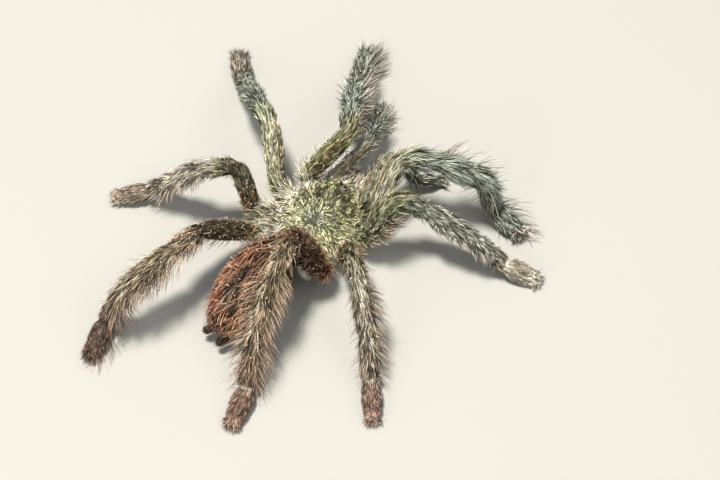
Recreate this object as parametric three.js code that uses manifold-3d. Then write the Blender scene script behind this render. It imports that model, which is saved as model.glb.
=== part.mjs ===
// A pink toe tarantula at life size, standing still on a flat floor.
// Millimetres, +Z up, the head towards -Y and the animal's left side towards +X. Every solid reaches
// out to the tips of the coat. Neighbouring solids are parted by a thin gap and never overlap.

import * as THREE from 'three';
import { mergeVertices } from 'three/addons/utils/BufferGeometryUtils.js';
import Module from 'manifold-3d';

const wasm = await Module();
wasm.setup();

// ---------------------------------------------------------------- driving dimensions

const GAP = 0.3; // between neighbouring solids
const FLOOR_BLOCK = { width: 200, depth: 20 }; // cuts the soles flat
const WELD = 1e-4; // vertices nearer than this are one
const LIMB_SIDES = 10; // facets round a leg
const PALP_SIDES = 8;

const CARAPACE = {
  centreY: -1.6,
  halfLength: 8.4,
  halfWidth: 7.3,
  frontNarrowing: 0.16,
  undersideZ: 4.9,
  rimZ: 5.5,
  domeHeight: 2.3,
  domeRoundness: 2.6, // higher keeps the top flat further out
  domeSteepness: 0.7, // lower makes the dome fall more steeply at its rim
  rimFade: 4, // how sharply the head's rise and the pit die out at the rim
  shoulder: 0.86, // below 1 the outline is squarer than an ellipse
  flatShare: 0.95, // how far out the flat underside reaches
  domeShares: [0.985, 0.9, 0.76, 0.58, 0.38, 0.19, 0], // rings of the dome, from rim to top
  sides: 28,
};
const HEAD_RISE = { height: 0.9, y: -6.2, reachX: 3.4, reachY: 3.6 };
const FOVEA = { depth: 0.7, y: 0.9, reachX: 1.7, reachY: 0.9 };

const STERNUM = { y: -1.4, z: 3.3, halfWidth: 3.4, halfLength: 5.4, halfHeight: 1.2, facets: [14, 6] };
const COXA_INSET = 0.62; // how much of the way to the leg's base the coxa's inner end lies inwards
const COXA_INNER_Z = 3.6;

const ABDOMEN = {
  front: [0.2, 6.8, 7.1],
  rear: [-1.2, 28.0, 5.7],
  halfWidth: 6.15,
  halfHeight: 5.3,
  fullest: 0.49, // share of the length where it is widest
  endTurn: 0.06, // share of the half turn that each flat end leaves out
  fullness: 0.9, // below 1 the egg is blunter than an ellipse
  sides: 22,
  rings: 12,
};
const PEDICEL = { radius: 1.1, z: 4.1, fromY: 5.4, toY: 10.4, facets: [10, 2] };

const SPINNERET = { length: 3.2, radii: [1.0, 0.62], spread: 1.15, splay: 0.24, facets: [8, 4] };
const SPINNERET_ROOT = [-1.3, 26.0, 3.1];
const SPINNERET_WAY = [0.3, 1, -0.12]; // both lean a little to the left

const CHELICERA = {
  offset: 1.5,
  from: { y: -8.4, z: 4.3 },
  to: { y: -14.4, z: 3.4 },
  halfWidth: 1.34,
  halfHeights: [1.6, 1.95, 1.2],
  shares: [0, 0.25, 0.5, 0.72, 0.88, 0.97, 1], // rings along it, closer at the blunt tip
  sides: 12,
};
const TIP_BLUNTNESS = 0.86; // how much the tip's rounding closes it
const FANG = {
  x: 1.5,
  radii: [0.42, 0.25],
  points: [[-14.0, 1.75], [-12.9, 1.0], [-11.2, 1.05]], // y and z, from root to tip
  facets: [8, 6],
};

const EYE_MOUND = { y: -7.6, halfWidth: 1.35, halfLength: 0.95, halfHeight: 0.75, lift: 0.25 };
const MOUND_FACETS = [14, 8];
const EYE_FACETS = [6, 4];
const EYES = [
  // sideways, forwards and radius of one eye of each pair, on the mound
  { x: 0.42, y: -0.15, radius: 0.3 },
  { x: 0.92, y: -0.55, radius: 0.24 },
  { x: 0.98, y: 0.2, radius: 0.22 },
  { x: 0.62, y: 0.42, radius: 0.18 },
];

// Length of each stretch of a limb, shared by the left and right limb of a pair.
const LEG_STRETCHES = ['femur', 'patella', 'tibia', 'metatarsus', 'tarsus'];
const PALP_STRETCHES = ['femur', 'patella', 'tibia', 'tarsus'];
const LIMB_LENGTHS = {
  palp: [10.0, 4.6, 6.8, 5.4],
  leg_1: [12.8, 7.0, 9.6, 8.8, 6.0],
  leg_2: [12.2, 6.6, 9.6, 8.4, 6.0],
  leg_3: [10.6, 6.4, 8.6, 8.6, 6.2],
  leg_4: [12.4, 6.9, 11.0, 11.0, 6.2],
};

// Where the femur of each limb starts, on the left side's half of the frame. In this stance the
// coxae on the left are swung a little back and those on the right a little forward.
const LIMB_BASES = {
  left: {
    palp: [3.9, -8.0, 4.6],
    leg_1: [7.5, -6.3, 5.2],
    leg_2: [10.3, -1.3, 5.2],
    leg_3: [10.3, 5.2, 5.2],
    leg_4: [7.0, 8.6, 5.2],
  },
  right: {
    palp: [3.9, -8.0, 4.6],
    leg_1: [7.3, -7.1, 5.2],
    leg_2: [9.4, -2.9, 5.2],
    leg_3: [9.3, 2.2, 5.2],
    leg_4: [7.8, 7.0, 5.2],
  },
};

// Coat-tip radius at the start, middle and end of each stretch, and how stout each pair is.
const STRETCH_RADII = {
  femur: [1.6, 2.05, 1.75],
  patella: [1.7, 1.85, 1.75],
  tibia: [1.8, 2.5, 2.15],
  metatarsus: [2.05, 2.25, 1.85],
  tarsus: [1.8, 1.95, 1.5],
};
const STOUTNESS = { palp: 0.7, leg_1: 1.06, leg_2: 1.08, leg_3: 0.96, leg_4: 1.04 };
const BEND_REACH = { palp: 1.4, leg: 2.3 }; // how far a joint's bend reaches along each stretch
const ANKLE_Z = 2.45;
const TOE_Z = { palp: 0.9, leg: 1.3 };
const TOE_ROUNDING = 1.1; // how far the rounded tip of a tarsus runs past its toe point
const TOE_TURNS = [0.4, 0.8]; // rings of that rounding, as shares of a quarter turn
const FACET_SLACK = 1.02; // clearance solids grow a little more, as facets cut corners

// The pose. A bearing is measured from straight out sideways, positive towards the head, and a
// pitch from level, positive upwards, both in degrees. The last stretches reach down to the
// ankle's and the toe's height, so they have no pitch of their own.
const POSES = {
  left_leg_1: { bearings: [122, 54, 55, 58, 64], pitches: [52, -17, -37] },
  left_leg_2: { bearings: [42, 25, 33, 37, 40], pitches: [59, -12, -40] },
  left_leg_3: { bearings: [9, -43, -19, -26, -46], pitches: [72, 3, -52] },
  left_leg_4: { bearings: [-67, -89, -76, -54, -108], pitches: [40, 17, -14] },
  right_leg_1: { bearings: [93, 27, 30, 33, -2], pitches: [51, 8, -24], ankleZ: 3.6 },
  right_leg_2: { bearings: [62, 37, 15, 23, 18], pitches: [61, -37, -21] },
  right_leg_3: { bearings: [-42, -34, -39, -44, -48], pitches: [68, -11, -44] },
  right_leg_4: { bearings: [-146, -73, -76, -61, -73], pitches: [66, 3, -43] },
  left_palp: { bearings: [108, 66, 61, 55], pitches: [33, -29, -36] },
  right_palp: { bearings: [92, 65, 32, 54], pitches: [50, -37, -66] },
};

const COLOURS = {
  carapace: 0x5d6355,
  underside: 0x3d3632,
  abdomen: 0x6b3524,
  spinneret: 0x1d1a1b,
  chelicera: 0x565a58,
  fang: 0x120d0c,
  eye_mound: 0x16130f,
  slate: 0x66747a,
  umber: 0x4a3f3d,
  rose: 0xb58476,
};

// ---------------------------------------------------------------- solids and cuts

const vector = (values) => new THREE.Vector3(...values);

/** A closed manifold solid from a three.js geometry, without its zero-size triangles. */
function solidOf(geometry) {
  geometry.deleteAttribute('normal');
  geometry.deleteAttribute('uv');
  const welded = mergeVertices(geometry, WELD);
  const corners = welded.index.array;
  const kept = [];
  for (let i = 0; i < corners.length; i += 3) {
    const [a, b, c] = corners.slice(i, i + 3);
    if (a !== b && b !== c && c !== a) {
      kept.push(a, b, c);
    }
  }
  const mesh = new wasm.Mesh({
    numProp: 3,
    vertProperties: Float32Array.from(welded.attributes.position.array),
    triVerts: Uint32Array.from(kept),
  });
  return new wasm.Manifold(mesh);
}

/** A three.js geometry from a manifold solid. */
function geometryOf(solid) {
  const mesh = solid.getMesh();
  const geometry = new THREE.BufferGeometry();
  geometry.setAttribute('position', new THREE.BufferAttribute(mesh.vertProperties, 3));
  geometry.setIndex(new THREE.BufferAttribute(mesh.triVerts, 1));
  geometry.computeVertexNormals();
  return geometry;
}

/** One closed solid through a row of elliptical rings, with flat ends. */
function loft(rings, sides) {
  const profile = [new THREE.Vector2(0, 0)];
  rings.forEach((ring, index) => profile.push(new THREE.Vector2(1, index)));
  profile.push(new THREE.Vector2(0, rings.length - 1));
  const geometry = new THREE.LatheGeometry(profile, sides);
  const places = geometry.attributes.position;
  for (let i = 0; i < places.count; i += 1) {
    const ring = rings[Math.round(places.getY(i))];
    const up = new THREE.Vector3().crossVectors(ring.side, ring.along);
    const place = ring.centre.clone();
    place.addScaledVector(ring.side, places.getX(i) * ring.halfWidth);
    place.addScaledVector(up, places.getZ(i) * ring.halfHeight);
    places.setXYZ(i, place.x, place.y, place.z);
  }
  return solidOf(geometry);
}

/** The value at a fraction of a stretch, from its values at the start, middle and end. */
function threePoint([start, middle, end], fraction) {
  const t = fraction;
  return start * (1 - t) * (1 - 2 * t) + middle * 4 * t * (1 - t) + end * t * (2 * t - 1);
}

/** A smooth hump of height 1 at its centre. */
const hump = (x, reachX, y, reachY) => Math.exp(-((x / reachX) ** 2) - (y / reachY) ** 2);

// ---------------------------------------------------------------- limbs

/** A limb's centre line: straight stretches with rounded bends, walked by its length. */
class LimbLine {
  constructor(joints, bendReach) {
    this.parts = [];
    this.marks = [0];
    this.length = 0;
    let from = joints[0];
    for (let i = 1; i < joints.length - 1; i += 1) {
      const before = joints[i].clone().lerp(joints[i - 1], bendReach / joints[i].distanceTo(joints[i - 1]));
      const after = joints[i].clone().lerp(joints[i + 1], bendReach / joints[i].distanceTo(joints[i + 1]));
      this.add(new THREE.LineCurve3(from, before));
      const bend = new THREE.QuadraticBezierCurve3(before, joints[i], after);
      this.marks.push(this.length + bend.getLength() / 2);
      this.add(bend);
      from = after;
    }
    this.add(new THREE.LineCurve3(from, joints[joints.length - 1]));
    this.marks.push(this.length);
  }

  add(curve) {
    this.parts.push({ curve, start: this.length });
    this.length += curve.getLength();
  }

  /** The point and direction at a length along the line, which runs straight on past its ends. */
  at(length) {
    const inside = THREE.MathUtils.clamp(length, 0, this.length);
    const part = this.parts.findLast((entry) => entry.start <= inside);
    const fraction = Math.min((inside - part.start) / part.curve.getLength(), 1);
    const along = part.curve.getTangentAt(fraction);
    const centre = part.curve.getPointAt(fraction).addScaledVector(along, length - inside);
    return { centre, along };
  }
}

/** The joints of a limb, from its coxa's inner end to its toe. */
function limbJoints(name) {
  const [side, ...rest] = name.split('_');
  const pair = rest.join('_');
  const mirror = side === 'left' ? 1 : -1;
  const { bearings, pitches, ankleZ = ANKLE_Z } = POSES[name];
  const base = vector(LIMB_BASES[side][pair]);
  base.x *= mirror;
  const inner = new THREE.Vector3(base.x, base.y - STERNUM.y, 0).multiplyScalar(1 - COXA_INSET);
  inner.add(new THREE.Vector3(0, STERNUM.y, COXA_INNER_Z));
  const joints = [inner, base];
  const reached = pair === 'palp' ? [TOE_Z.palp] : [ankleZ, TOE_Z.leg];
  const lengths = LIMB_LENGTHS[pair];
  lengths.forEach((length, i) => {
    const from = joints[joints.length - 1];
    const heldTo = reached[i - pitches.length];
    const given = THREE.MathUtils.degToRad(pitches[i] ?? 0);
    const steep = heldTo === undefined ? given : Math.asin((heldTo - from.z) / length);
    const turn = THREE.MathUtils.degToRad(bearings[i]);
    const step = new THREE.Vector3(mirror * Math.cos(turn), -Math.sin(turn), 0);
    step.multiplyScalar(Math.cos(steep));
    step.z = Math.sin(steep);
    joints.push(from.clone().addScaledVector(step, length));
  });
  return joints;
}

/** The rings of a limb between two lengths, square to its line inside and to `ends` at each end. */
function limbRings(line, from, to, ends, radiusAt, count) {
  const rings = [];
  let side = new THREE.Vector3(0, 0, 1);
  for (let i = 0; i <= count; i += 1) {
    const length = THREE.MathUtils.lerp(from, to, i / count);
    const { centre, along } = line.at(length);
    if (i === 0 && ends[0]) {
      along.copy(ends[0]);
    }
    if (i === count && ends[1]) {
      along.copy(ends[1]);
    }
    side = side.clone().addScaledVector(along, -side.dot(along)).normalize();
    const radius = radiusAt((length - from) / (to - from));
    rings.push({ centre, along, side, halfWidth: radius, halfHeight: radius });
  }
  return rings;
}

/** A limb with everything that its solids need. */
class Limb {
  constructor(name) {
    this.name = name;
    this.pair = name.slice(name.indexOf('_') + 1);
    this.isPalp = this.pair === 'palp';
    this.stretches = this.isPalp ? PALP_STRETCHES : LEG_STRETCHES;
    this.sides = this.isPalp ? PALP_SIDES : LIMB_SIDES;
    this.line = new LimbLine(limbJoints(name), this.isPalp ? BEND_REACH.palp : BEND_REACH.leg);
  }

  radius(stretch, fraction) {
    return STOUTNESS[this.pair] * threePoint(STRETCH_RADII[stretch], fraction);
  }

  /** The coxa, from inside the body to the limb's base, short of it by `short`. */
  coxa(short, grow) {
    const end = this.line.marks[1];
    const square = this.line.at(end).along;
    const radius = this.radius('femur', 0) * (grow > 0 ? FACET_SLACK : 1) + grow;
    return loft(limbRings(this.line, 0, end - short, [null, square], () => radius, 2), this.sides);
  }

  /** One stretch of the limb, parted from its neighbours by the gap, or grown as a clearance. */
  stretch(index, grow = 0) {
    const name = this.stretches[index];
    const isLast = index === this.stretches.length - 1;
    const [from, to] = [this.line.marks[index + 1], this.line.marks[index + 2]];
    const short = grow > 0 ? -grow : GAP / 2;
    const squares = [this.line.at(from).along, isLast ? null : this.line.at(to).along];
    const radiusAt = (t) => this.radius(name, t) * (grow > 0 ? FACET_SLACK : 1) + grow;
    const count = name === 'femur' ? 5 : 4;
    const rings = limbRings(this.line, from + short, isLast ? to : to - short, squares, radiusAt, count);
    if (isLast) {
      rings.push(...this.toeRings(rings[rings.length - 1], grow));
    }
    return loft(rings, this.sides);
  }

  /** The rounded tip of the last stretch. */
  toeRings(last, grow) {
    return TOE_TURNS.map((share) => {
      const turn = (share * Math.PI) / 2;
      const radius = last.halfWidth * Math.cos(turn) + grow;
      const centre = last.centre.clone().addScaledVector(last.along, TOE_ROUNDING * Math.sin(turn));
      return { ...last, centre, halfWidth: radius, halfHeight: radius };
    });
  }
}

// ---------------------------------------------------------------- body

/** The height of the carapace's dome over its rim, at a place and at a share of the way to the rim. */
function domeHeight(x, y, share) {
  const c = CARAPACE;
  const dome = c.domeHeight * (1 - share ** c.domeRoundness) ** c.domeSteepness;
  const fade = 1 - share ** c.rimFade;
  const head = HEAD_RISE.height * hump(x, HEAD_RISE.reachX, y - HEAD_RISE.y, HEAD_RISE.reachY);
  const pit = FOVEA.depth * hump(x, FOVEA.reachX, y - FOVEA.y, FOVEA.reachY);
  return dome + (head - pit) * fade;
}

/** The domed shield over the front body. */
function carapaceSolid(grow = 0) {
  const c = CARAPACE;
  const levels = [
    { share: 0, z: () => c.undersideZ - grow },
    { share: c.flatShare, z: () => c.undersideZ - grow },
    { share: 1, z: () => (c.undersideZ + c.rimZ) / 2 },
  ];
  c.domeShares.forEach((share) => {
    levels.push({ share, z: (x, y) => c.rimZ + grow + domeHeight(x, y, share) });
  });
  const profile = levels.map((level, index) => new THREE.Vector2(level.share, index));
  const geometry = new THREE.LatheGeometry(profile, c.sides);
  const places = geometry.attributes.position;
  for (let i = 0; i < places.count; i += 1) {
    const level = levels[Math.round(places.getY(i))];
    const angle = Math.atan2(places.getX(i), places.getZ(i));
    const forward = Math.max(Math.cos(angle), 0);
    const width = (c.halfWidth + grow) * (1 - c.frontNarrowing * forward);
    const x = level.share * width * Math.sign(Math.sin(angle)) * Math.abs(Math.sin(angle)) ** c.shoulder;
    const y = c.centreY - level.share * (c.halfLength + grow) * Math.cos(angle);
    places.setXYZ(i, x, y, level.z(x, y));
  }
  return solidOf(geometry);
}

/** The ground plate under the front body, with the ten coxae that carry the limbs. */
function undersideSolid(limbs, grow = 0) {
  const plate = new THREE.SphereGeometry(1, ...STERNUM.facets);
  plate.scale(STERNUM.halfWidth + grow, STERNUM.halfLength + grow, STERNUM.halfHeight + grow);
  plate.translate(0, STERNUM.y, STERNUM.z);
  const short = grow > 0 ? -grow : GAP / 2;
  return limbs.reduce((solid, limb) => solid.add(limb.coxa(short, grow)), solidOf(plate));
}

/** The abdomen, an egg on a leaning axis, fullest behind its middle. */
function abdomenSolid(grow = 0) {
  const a = ABDOMEN;
  const [front, rear] = [vector(a.front), vector(a.rear)];
  const along = rear.clone().sub(front).normalize();
  const side = new THREE.Vector3(1, 0, 0);
  side.addScaledVector(along, -side.dot(along)).normalize();
  const middle = front.clone().lerp(rear, 0.5);
  const rings = [];
  for (let i = 0; i <= a.rings; i += 1) {
    const turn = THREE.MathUtils.lerp(a.endTurn, 1 - a.endTurn, i / a.rings) * Math.PI;
    const even = (1 - Math.cos(turn)) / 2;
    const share = even ** (Math.log(a.fullest) / Math.log(0.5));
    const round = Math.sin(turn) ** a.fullness;
    const centre = front.clone().lerp(rear, share);
    centre.addScaledVector(centre.clone().sub(middle).normalize(), grow);
    const ring = { centre, along, side };
    rings.push({ ...ring, halfWidth: a.halfWidth * round + grow, halfHeight: a.halfHeight * round + grow });
  }
  return loft(rings, a.sides);
}

/** A straight or bent rod through points, with a radius that runs from one value to another. */
function rod(points, radii, sides, count) {
  const curve = new THREE.CatmullRomCurve3(points);
  const rings = [];
  let side = new THREE.Vector3(1, 0, 0);
  for (let i = 0; i <= count; i += 1) {
    const along = curve.getTangentAt(i / count);
    const centre = curve.getPointAt(i / count);
    side = side.clone().addScaledVector(along, -side.dot(along)).normalize();
    const radius = THREE.MathUtils.lerp(radii[0], radii[1], i / count);
    rings.push({ centre, along, side, halfWidth: radius, halfHeight: radius });
  }
  return loft(rings, sides);
}

/** One chelicera's upper joint: a deep, blunt block that leans forwards and down. */
function cheliceraSolid(mirror, grow = 0) {
  const c = CHELICERA;
  const from = new THREE.Vector3(mirror * c.offset, c.from.y, c.from.z);
  const to = new THREE.Vector3(mirror * c.offset, c.to.y, c.to.z);
  const along = to.clone().sub(from).normalize();
  const side = new THREE.Vector3(-1, 0, 0);
  const rings = c.shares.map((share) => {
    const centre = from.clone().lerp(to, share);
    const blunt = Math.sqrt(1 - TIP_BLUNTNESS * Math.max(0, 2 * share - 1) ** 3);
    const halfHeight = threePoint(c.halfHeights, share) * blunt + grow;
    return { centre, along, side, halfWidth: c.halfWidth * blunt + grow, halfHeight };
  });
  return loft(rings, c.sides);
}

/** One fang, folded back under its chelicera. */
function fangSolid(mirror) {
  const points = FANG.points.map(([y, z]) => new THREE.Vector3(mirror * FANG.x, y, z));
  return rod(points, FANG.radii, ...FANG.facets);
}

/** The low mound near the front of the carapace, with the four pairs of eyes standing out of it. */
function eyeMoundSolid() {
  const m = EYE_MOUND;
  const share = (CARAPACE.centreY - m.y) / CARAPACE.halfLength;
  const top = CARAPACE.rimZ + domeHeight(0, m.y, share) + m.lift;
  const mound = new THREE.SphereGeometry(1, ...MOUND_FACETS);
  mound.scale(m.halfWidth, m.halfLength, m.halfHeight);
  mound.translate(0, m.y, top);
  let solid = solidOf(mound);
  EYES.forEach(({ x, y, radius }) => {
    [1, -1].forEach((mirror) => {
      const fall = Math.sqrt(Math.max(0, 1 - (x / m.halfWidth) ** 2 - (y / m.halfLength) ** 2));
      const eye = new THREE.SphereGeometry(radius, ...EYE_FACETS);
      eye.translate(mirror * x, m.y + y, top + m.halfHeight * fall);
      solid = solid.add(solidOf(eye));
    });
  });
  return solid;
}

/** One of the two long spinnerets behind the abdomen. */
function spinneretSolid(mirror) {
  const s = SPINNERET;
  const root = vector(SPINNERET_ROOT);
  root.x += mirror * s.spread;
  const way = vector(SPINNERET_WAY);
  way.x += mirror * s.splay;
  way.normalize();
  const points = [0, 0.5, 1].map((share) => root.clone().addScaledVector(way, share * s.length));
  return rod(points, s.radii, ...s.facets);
}

// ---------------------------------------------------------------- the whole animal

const animal = new THREE.Group();

/** Adds one named solid to the animal. */
function place(name, solid, colour, roughness = 0.9) {
  const material = new THREE.MeshStandardMaterial({ color: colour, roughness, metalness: 0 });
  const mesh = new THREE.Mesh(geometryOf(solid), material);
  mesh.name = name;
  animal.add(mesh);
}

/** The colour of a limb's stretch: slate in front, umber behind, rose feet. */
function limbColour(limb, stretch) {
  if (stretch === 'tarsus') {
    return COLOURS.rose;
  }
  return ['leg_3', 'leg_4'].includes(limb.pair) ? COLOURS.umber : COLOURS.slate;
}

const limbs = Object.keys(POSES).map((name) => new Limb(name));
const palps = limbs.filter((limb) => limb.isPalp);

const belowFloor = new THREE.BoxGeometry(FLOOR_BLOCK.width, FLOOR_BLOCK.width, FLOOR_BLOCK.depth);
belowFloor.translate(0, 0, -FLOOR_BLOCK.depth / 2);
const floorCut = solidOf(belowFloor);

limbs.forEach((limb) => {
  limb.stretches.forEach((stretch, index) => {
    const isFoot = index === limb.stretches.length - 1;
    const solid = isFoot ? limb.stretch(index).subtract(floorCut) : limb.stretch(index);
    place(`${limb.name}_${stretch}`, solid, limbColour(limb, stretch));
  });
});

const carapace = limbs.reduce((solid, limb) => solid.subtract(limb.stretch(0, GAP)), carapaceSolid());
const carapaceRoom = carapaceSolid(GAP);
const underside = undersideSolid(limbs).subtract(carapaceRoom);
const undersideRoom = undersideSolid(limbs, GAP);
const abdomenRoom = abdomenSolid(GAP);
place('carapace', carapace, COLOURS.carapace, 0.8);
place('underside', underside, COLOURS.underside);
place('abdomen', abdomenSolid(), COLOURS.abdomen);
place('eye_mound', eyeMoundSolid().subtract(carapaceRoom), COLOURS.eye_mound, 0.3);

const pedicelEnds = [PEDICEL.fromY, PEDICEL.toY].map((y) => new THREE.Vector3(0, y, PEDICEL.z));
const pedicel = rod(pedicelEnds, [PEDICEL.radius, PEDICEL.radius], ...PEDICEL.facets);
const waist = pedicel.subtract(carapaceRoom).subtract(undersideRoom).subtract(abdomenRoom);
place('pedicel', waist, COLOURS.underside);

[['left', 1], ['right', -1]].forEach(([side, mirror]) => {
  const block = palps.reduce((solid, palp) => solid.subtract(palp.stretch(0, GAP)), cheliceraSolid(mirror));
  place(`${side}_chelicera`, block.subtract(carapaceRoom).subtract(undersideRoom), COLOURS.chelicera);
  place(`${side}_fang`, fangSolid(mirror).subtract(cheliceraSolid(mirror, GAP)), COLOURS.fang, 0.2);
  place(`${side}_spinneret`, spinneretSolid(mirror).subtract(abdomenRoom), COLOURS.spinneret);
});

// The frame's origin is on the floor under the middle of the whole outline.
const outline = new THREE.Box3().setFromObject(animal);
const middle = outline.getCenter(new THREE.Vector3());
animal.children.forEach((mesh) => mesh.geometry.translate(-middle.x, -middle.y, 0));

export default animal;
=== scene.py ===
"""A life-size pink toe tarantula that stands still on all eight feet.

Sizes are in millimetres and in the animal's own frame until a mesh is finished: the head looks
along -Y, the animal's left is +X, and the floor is z = 0. Angles are in degrees.
"""

import logging
import math
from dataclasses import dataclass, field, replace
from enum import Enum
from typing import Any, Callable, Iterable, Sequence

import bpy
import numpy as np
from mathutils import Matrix, Vector
from mathutils.kdtree import KDTree


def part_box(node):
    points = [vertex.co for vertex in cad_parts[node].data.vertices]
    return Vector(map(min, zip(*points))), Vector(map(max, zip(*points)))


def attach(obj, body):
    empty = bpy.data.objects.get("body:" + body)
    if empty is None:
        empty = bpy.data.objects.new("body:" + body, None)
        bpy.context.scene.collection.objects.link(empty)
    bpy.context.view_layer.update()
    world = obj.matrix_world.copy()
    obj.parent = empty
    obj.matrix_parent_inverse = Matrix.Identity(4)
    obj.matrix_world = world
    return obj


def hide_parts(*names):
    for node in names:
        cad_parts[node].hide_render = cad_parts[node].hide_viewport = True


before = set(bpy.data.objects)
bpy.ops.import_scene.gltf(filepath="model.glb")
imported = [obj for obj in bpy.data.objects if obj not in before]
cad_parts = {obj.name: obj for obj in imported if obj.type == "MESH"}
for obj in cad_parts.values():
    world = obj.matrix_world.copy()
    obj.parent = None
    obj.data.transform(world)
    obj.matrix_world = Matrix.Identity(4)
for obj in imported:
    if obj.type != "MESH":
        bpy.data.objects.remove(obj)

Array = np.ndarray
Triple = tuple[float, float, float]
Span = tuple[float, float]
Shell = tuple[Array, list[tuple[int, ...]]]
Marks = dict[str, Array]
Fit = Callable[[Array], Array]
LOG = logging.getLogger("tarantula")
METRE = 1000.0  # millimetres to a metre
FULL_TURN = 2 * math.pi
BODY = "root"
CHART = "OFBake"
PATCH = 0.003  # how wide one hair lies on the chart
CARAPACE_CENTRE = (0.0, -1.6)
HAIR_Z = 0.03  # the lowest that a hair may reach
NEIGHBOURS = 4096  # places that are measured against a limb at once


# ---------------------------------------------------------------- measures


def unit(vectors: Array) -> Array:
    """Returns the vectors at length one."""
    return vectors / np.maximum(np.linalg.norm(vectors, axis=-1, keepdims=True), 1e-9)


def dot(a: Array, b: Array) -> Array:
    """Returns the dot products of two rows of vectors."""
    return (a * b).sum(-1)


def hump(x: Array, centre: float, reach: float) -> Array:
    """Returns a smooth hump, 1 at its centre, that dies out past its reach."""
    return np.exp(-(((x - centre) / reach) ** 2))


def rise(x: Array, low: float, high: float) -> Array:
    """Returns 0 below low and 1 above high, with a smooth step between."""
    t = np.clip((x - low) / (high - low), 0.0, 1.0)
    return t * t * (3.0 - 2.0 * t)


def three_point(values: Sequence[float], t: Array) -> Array:
    """Returns the smooth curve through a start, a middle and an end value."""
    start, middle, end = values
    return start * (1 - t) * (1 - 2 * t) + middle * 4 * t * (1 - t) + end * t * (2 * t - 1)


@dataclass(frozen=True)
class Ripple:
    """A smooth unevenness in space, about -1 to 1, made of a few slanting waves."""

    size: float
    seed: int
    waves: int = 7

    def at(self, points: Array) -> Array:
        """Returns the unevenness at the points.

        Args:
            points: Places, one to a row.

        Returns:
            One number for each place.
        """
        rng = np.random.default_rng(self.seed)
        ways = unit(rng.normal(size=(self.waves, 3))) * rng.uniform(0.6, 1.6, (self.waves, 1))
        starts = rng.uniform(0, FULL_TURN, self.waves)
        phases = points @ ways.T * (FULL_TURN / self.size) + starts
        return np.sin(phases).sum(1) / math.sqrt(self.waves)


# The unevenness of each region's markings and, last, of the way its hairs stand.
LIMB_CLOUD = Ripple(3.4, 11)
SHIELD_SWIRL, SHIELD_CLOUD, SHIELD_FLECK = Ripple(3.0, 21), Ripple(2.2, 22), Ripple(1.0, 23)
EGG_DRIFT, EGG_CLOUD = Ripple(4.6, 31), Ripple(4.2, 32)
JAW_CLOUD = Ripple(1.8, 41)
STRAY_RIPPLE, LIFT_RIPPLE, TONE_RIPPLE = Ripple(2.2, 51), Ripple(1.1, 52), Ripple(0.5, 53)


class Home:
    """Takes places from the animal's frame to the frame of the solids."""

    def __init__(self) -> None:
        """Finds the shift between the frames from where the carapace lies."""
        low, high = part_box("carapace")
        middle = (np.array(low) + np.array(high)) / 2 * METRE
        self.shift = np.array([middle[0] - CARAPACE_CENTRE[0], middle[1] - CARAPACE_CENTRE[1], 0.0])

    def metres(self, points: Array) -> Array:
        """Returns the places in metres, in the frame of the solids."""
        return (np.asarray(points, float) + self.shift) / METRE


# ---------------------------------------------------------------- markings and hair kinds
#
# The factors in the regions' marking and growth methods say how much each term counts.


class Marking(Enum):
    """What colours a place on the skin, each from 0 to 1."""

    WARM = "warm"
    OLIVE = "olive"
    PLUM = "plum"
    ROSE = "rose"
    PALE = "pale"
    GOLD = "gold"
    RUST = "rust"
    # Darkening: the animal's own dark markings, and in places painted shade.
    SHADE = "shade"


@dataclass
class Reading:
    """What the animal's plan says of places on its skin.

    Attributes:
        points: The places.
        lay: Which way the coat lies there.
        chart: The place on the region's own flat chart, 0 to 1.
        along: How far along the region, in stretches for a limb.
        around: The angle round the region from its back, in degrees.
        marks: The strength of each marking.
    """

    points: Array
    lay: Array
    chart: Array
    along: Array
    around: Array
    marks: dict[Marking, Array] = field(default_factory=dict)

    def mark(self, marking: Marking, value: Any) -> None:
        """Sets a marking, kept between 0 and 1."""
        spread = np.broadcast_to(value, self.along.shape)
        self.marks[marking] = np.clip(spread, 0.0, 1.0).astype(float)

    def of(self, marking: Marking) -> Array:
        """Returns a marking's strength, which is 0 where it was never set."""
        return self.marks.get(marking, np.zeros(self.along.shape))


@dataclass(frozen=True)
class Hair:
    """One kind of hair.

    Attributes:
        per_mm2: Tufts to a square millimetre where it is thickest.
        length: Shortest and longest.
        width: Thickness at the root.
        lift: Least and greatest angle to the skin at the root.
        droop: Angle by which it bends back along its length.
        scatter: How far it strays sideways from the lay of the coat.
        rings: Rings of its mesh below the tip.
        strands: Hairs in one tuft.
        spread: How far apart the hairs of a tuft stand.
        gather: How far their tips close up, 0 to 1.
        tipped: How pale its tip is, 0 to 1.
        wave: Sideways bend along its length.
        tone: Darkest and brightest that it may be, 0 to 1.
    """

    per_mm2: float
    length: Span
    width: float
    lift: Span
    droop: float
    scatter: float
    rings: int = 1
    strands: int = 1
    spread: float = 0.0
    gather: float = 0.0
    tipped: float = 0.0
    wave: float = 0.0
    tone: Span = (0.0, 1.0)


class Kind(Enum):
    """The layers of the coat, from the skin out."""

    DOWN = "down"
    LOCK = "lock"
    BRISTLE = "bristle"
    SPECK = "speck"


@dataclass
class Growth:
    """How a kind of hair grows at each of some places.

    Attributes:
        thick: The share of its tufts that grow, 0 to 1.
        long: Its length beside the usual.
        loose: How far it lifts and strays beside the usual.
        even: How far its hairs share one tone, 0 to 1.
    """

    thick: Array
    long: Array
    loose: Any = 1.0
    even: Any = 0.0


# ---------------------------------------------------------------- shapes of the flesh


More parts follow.
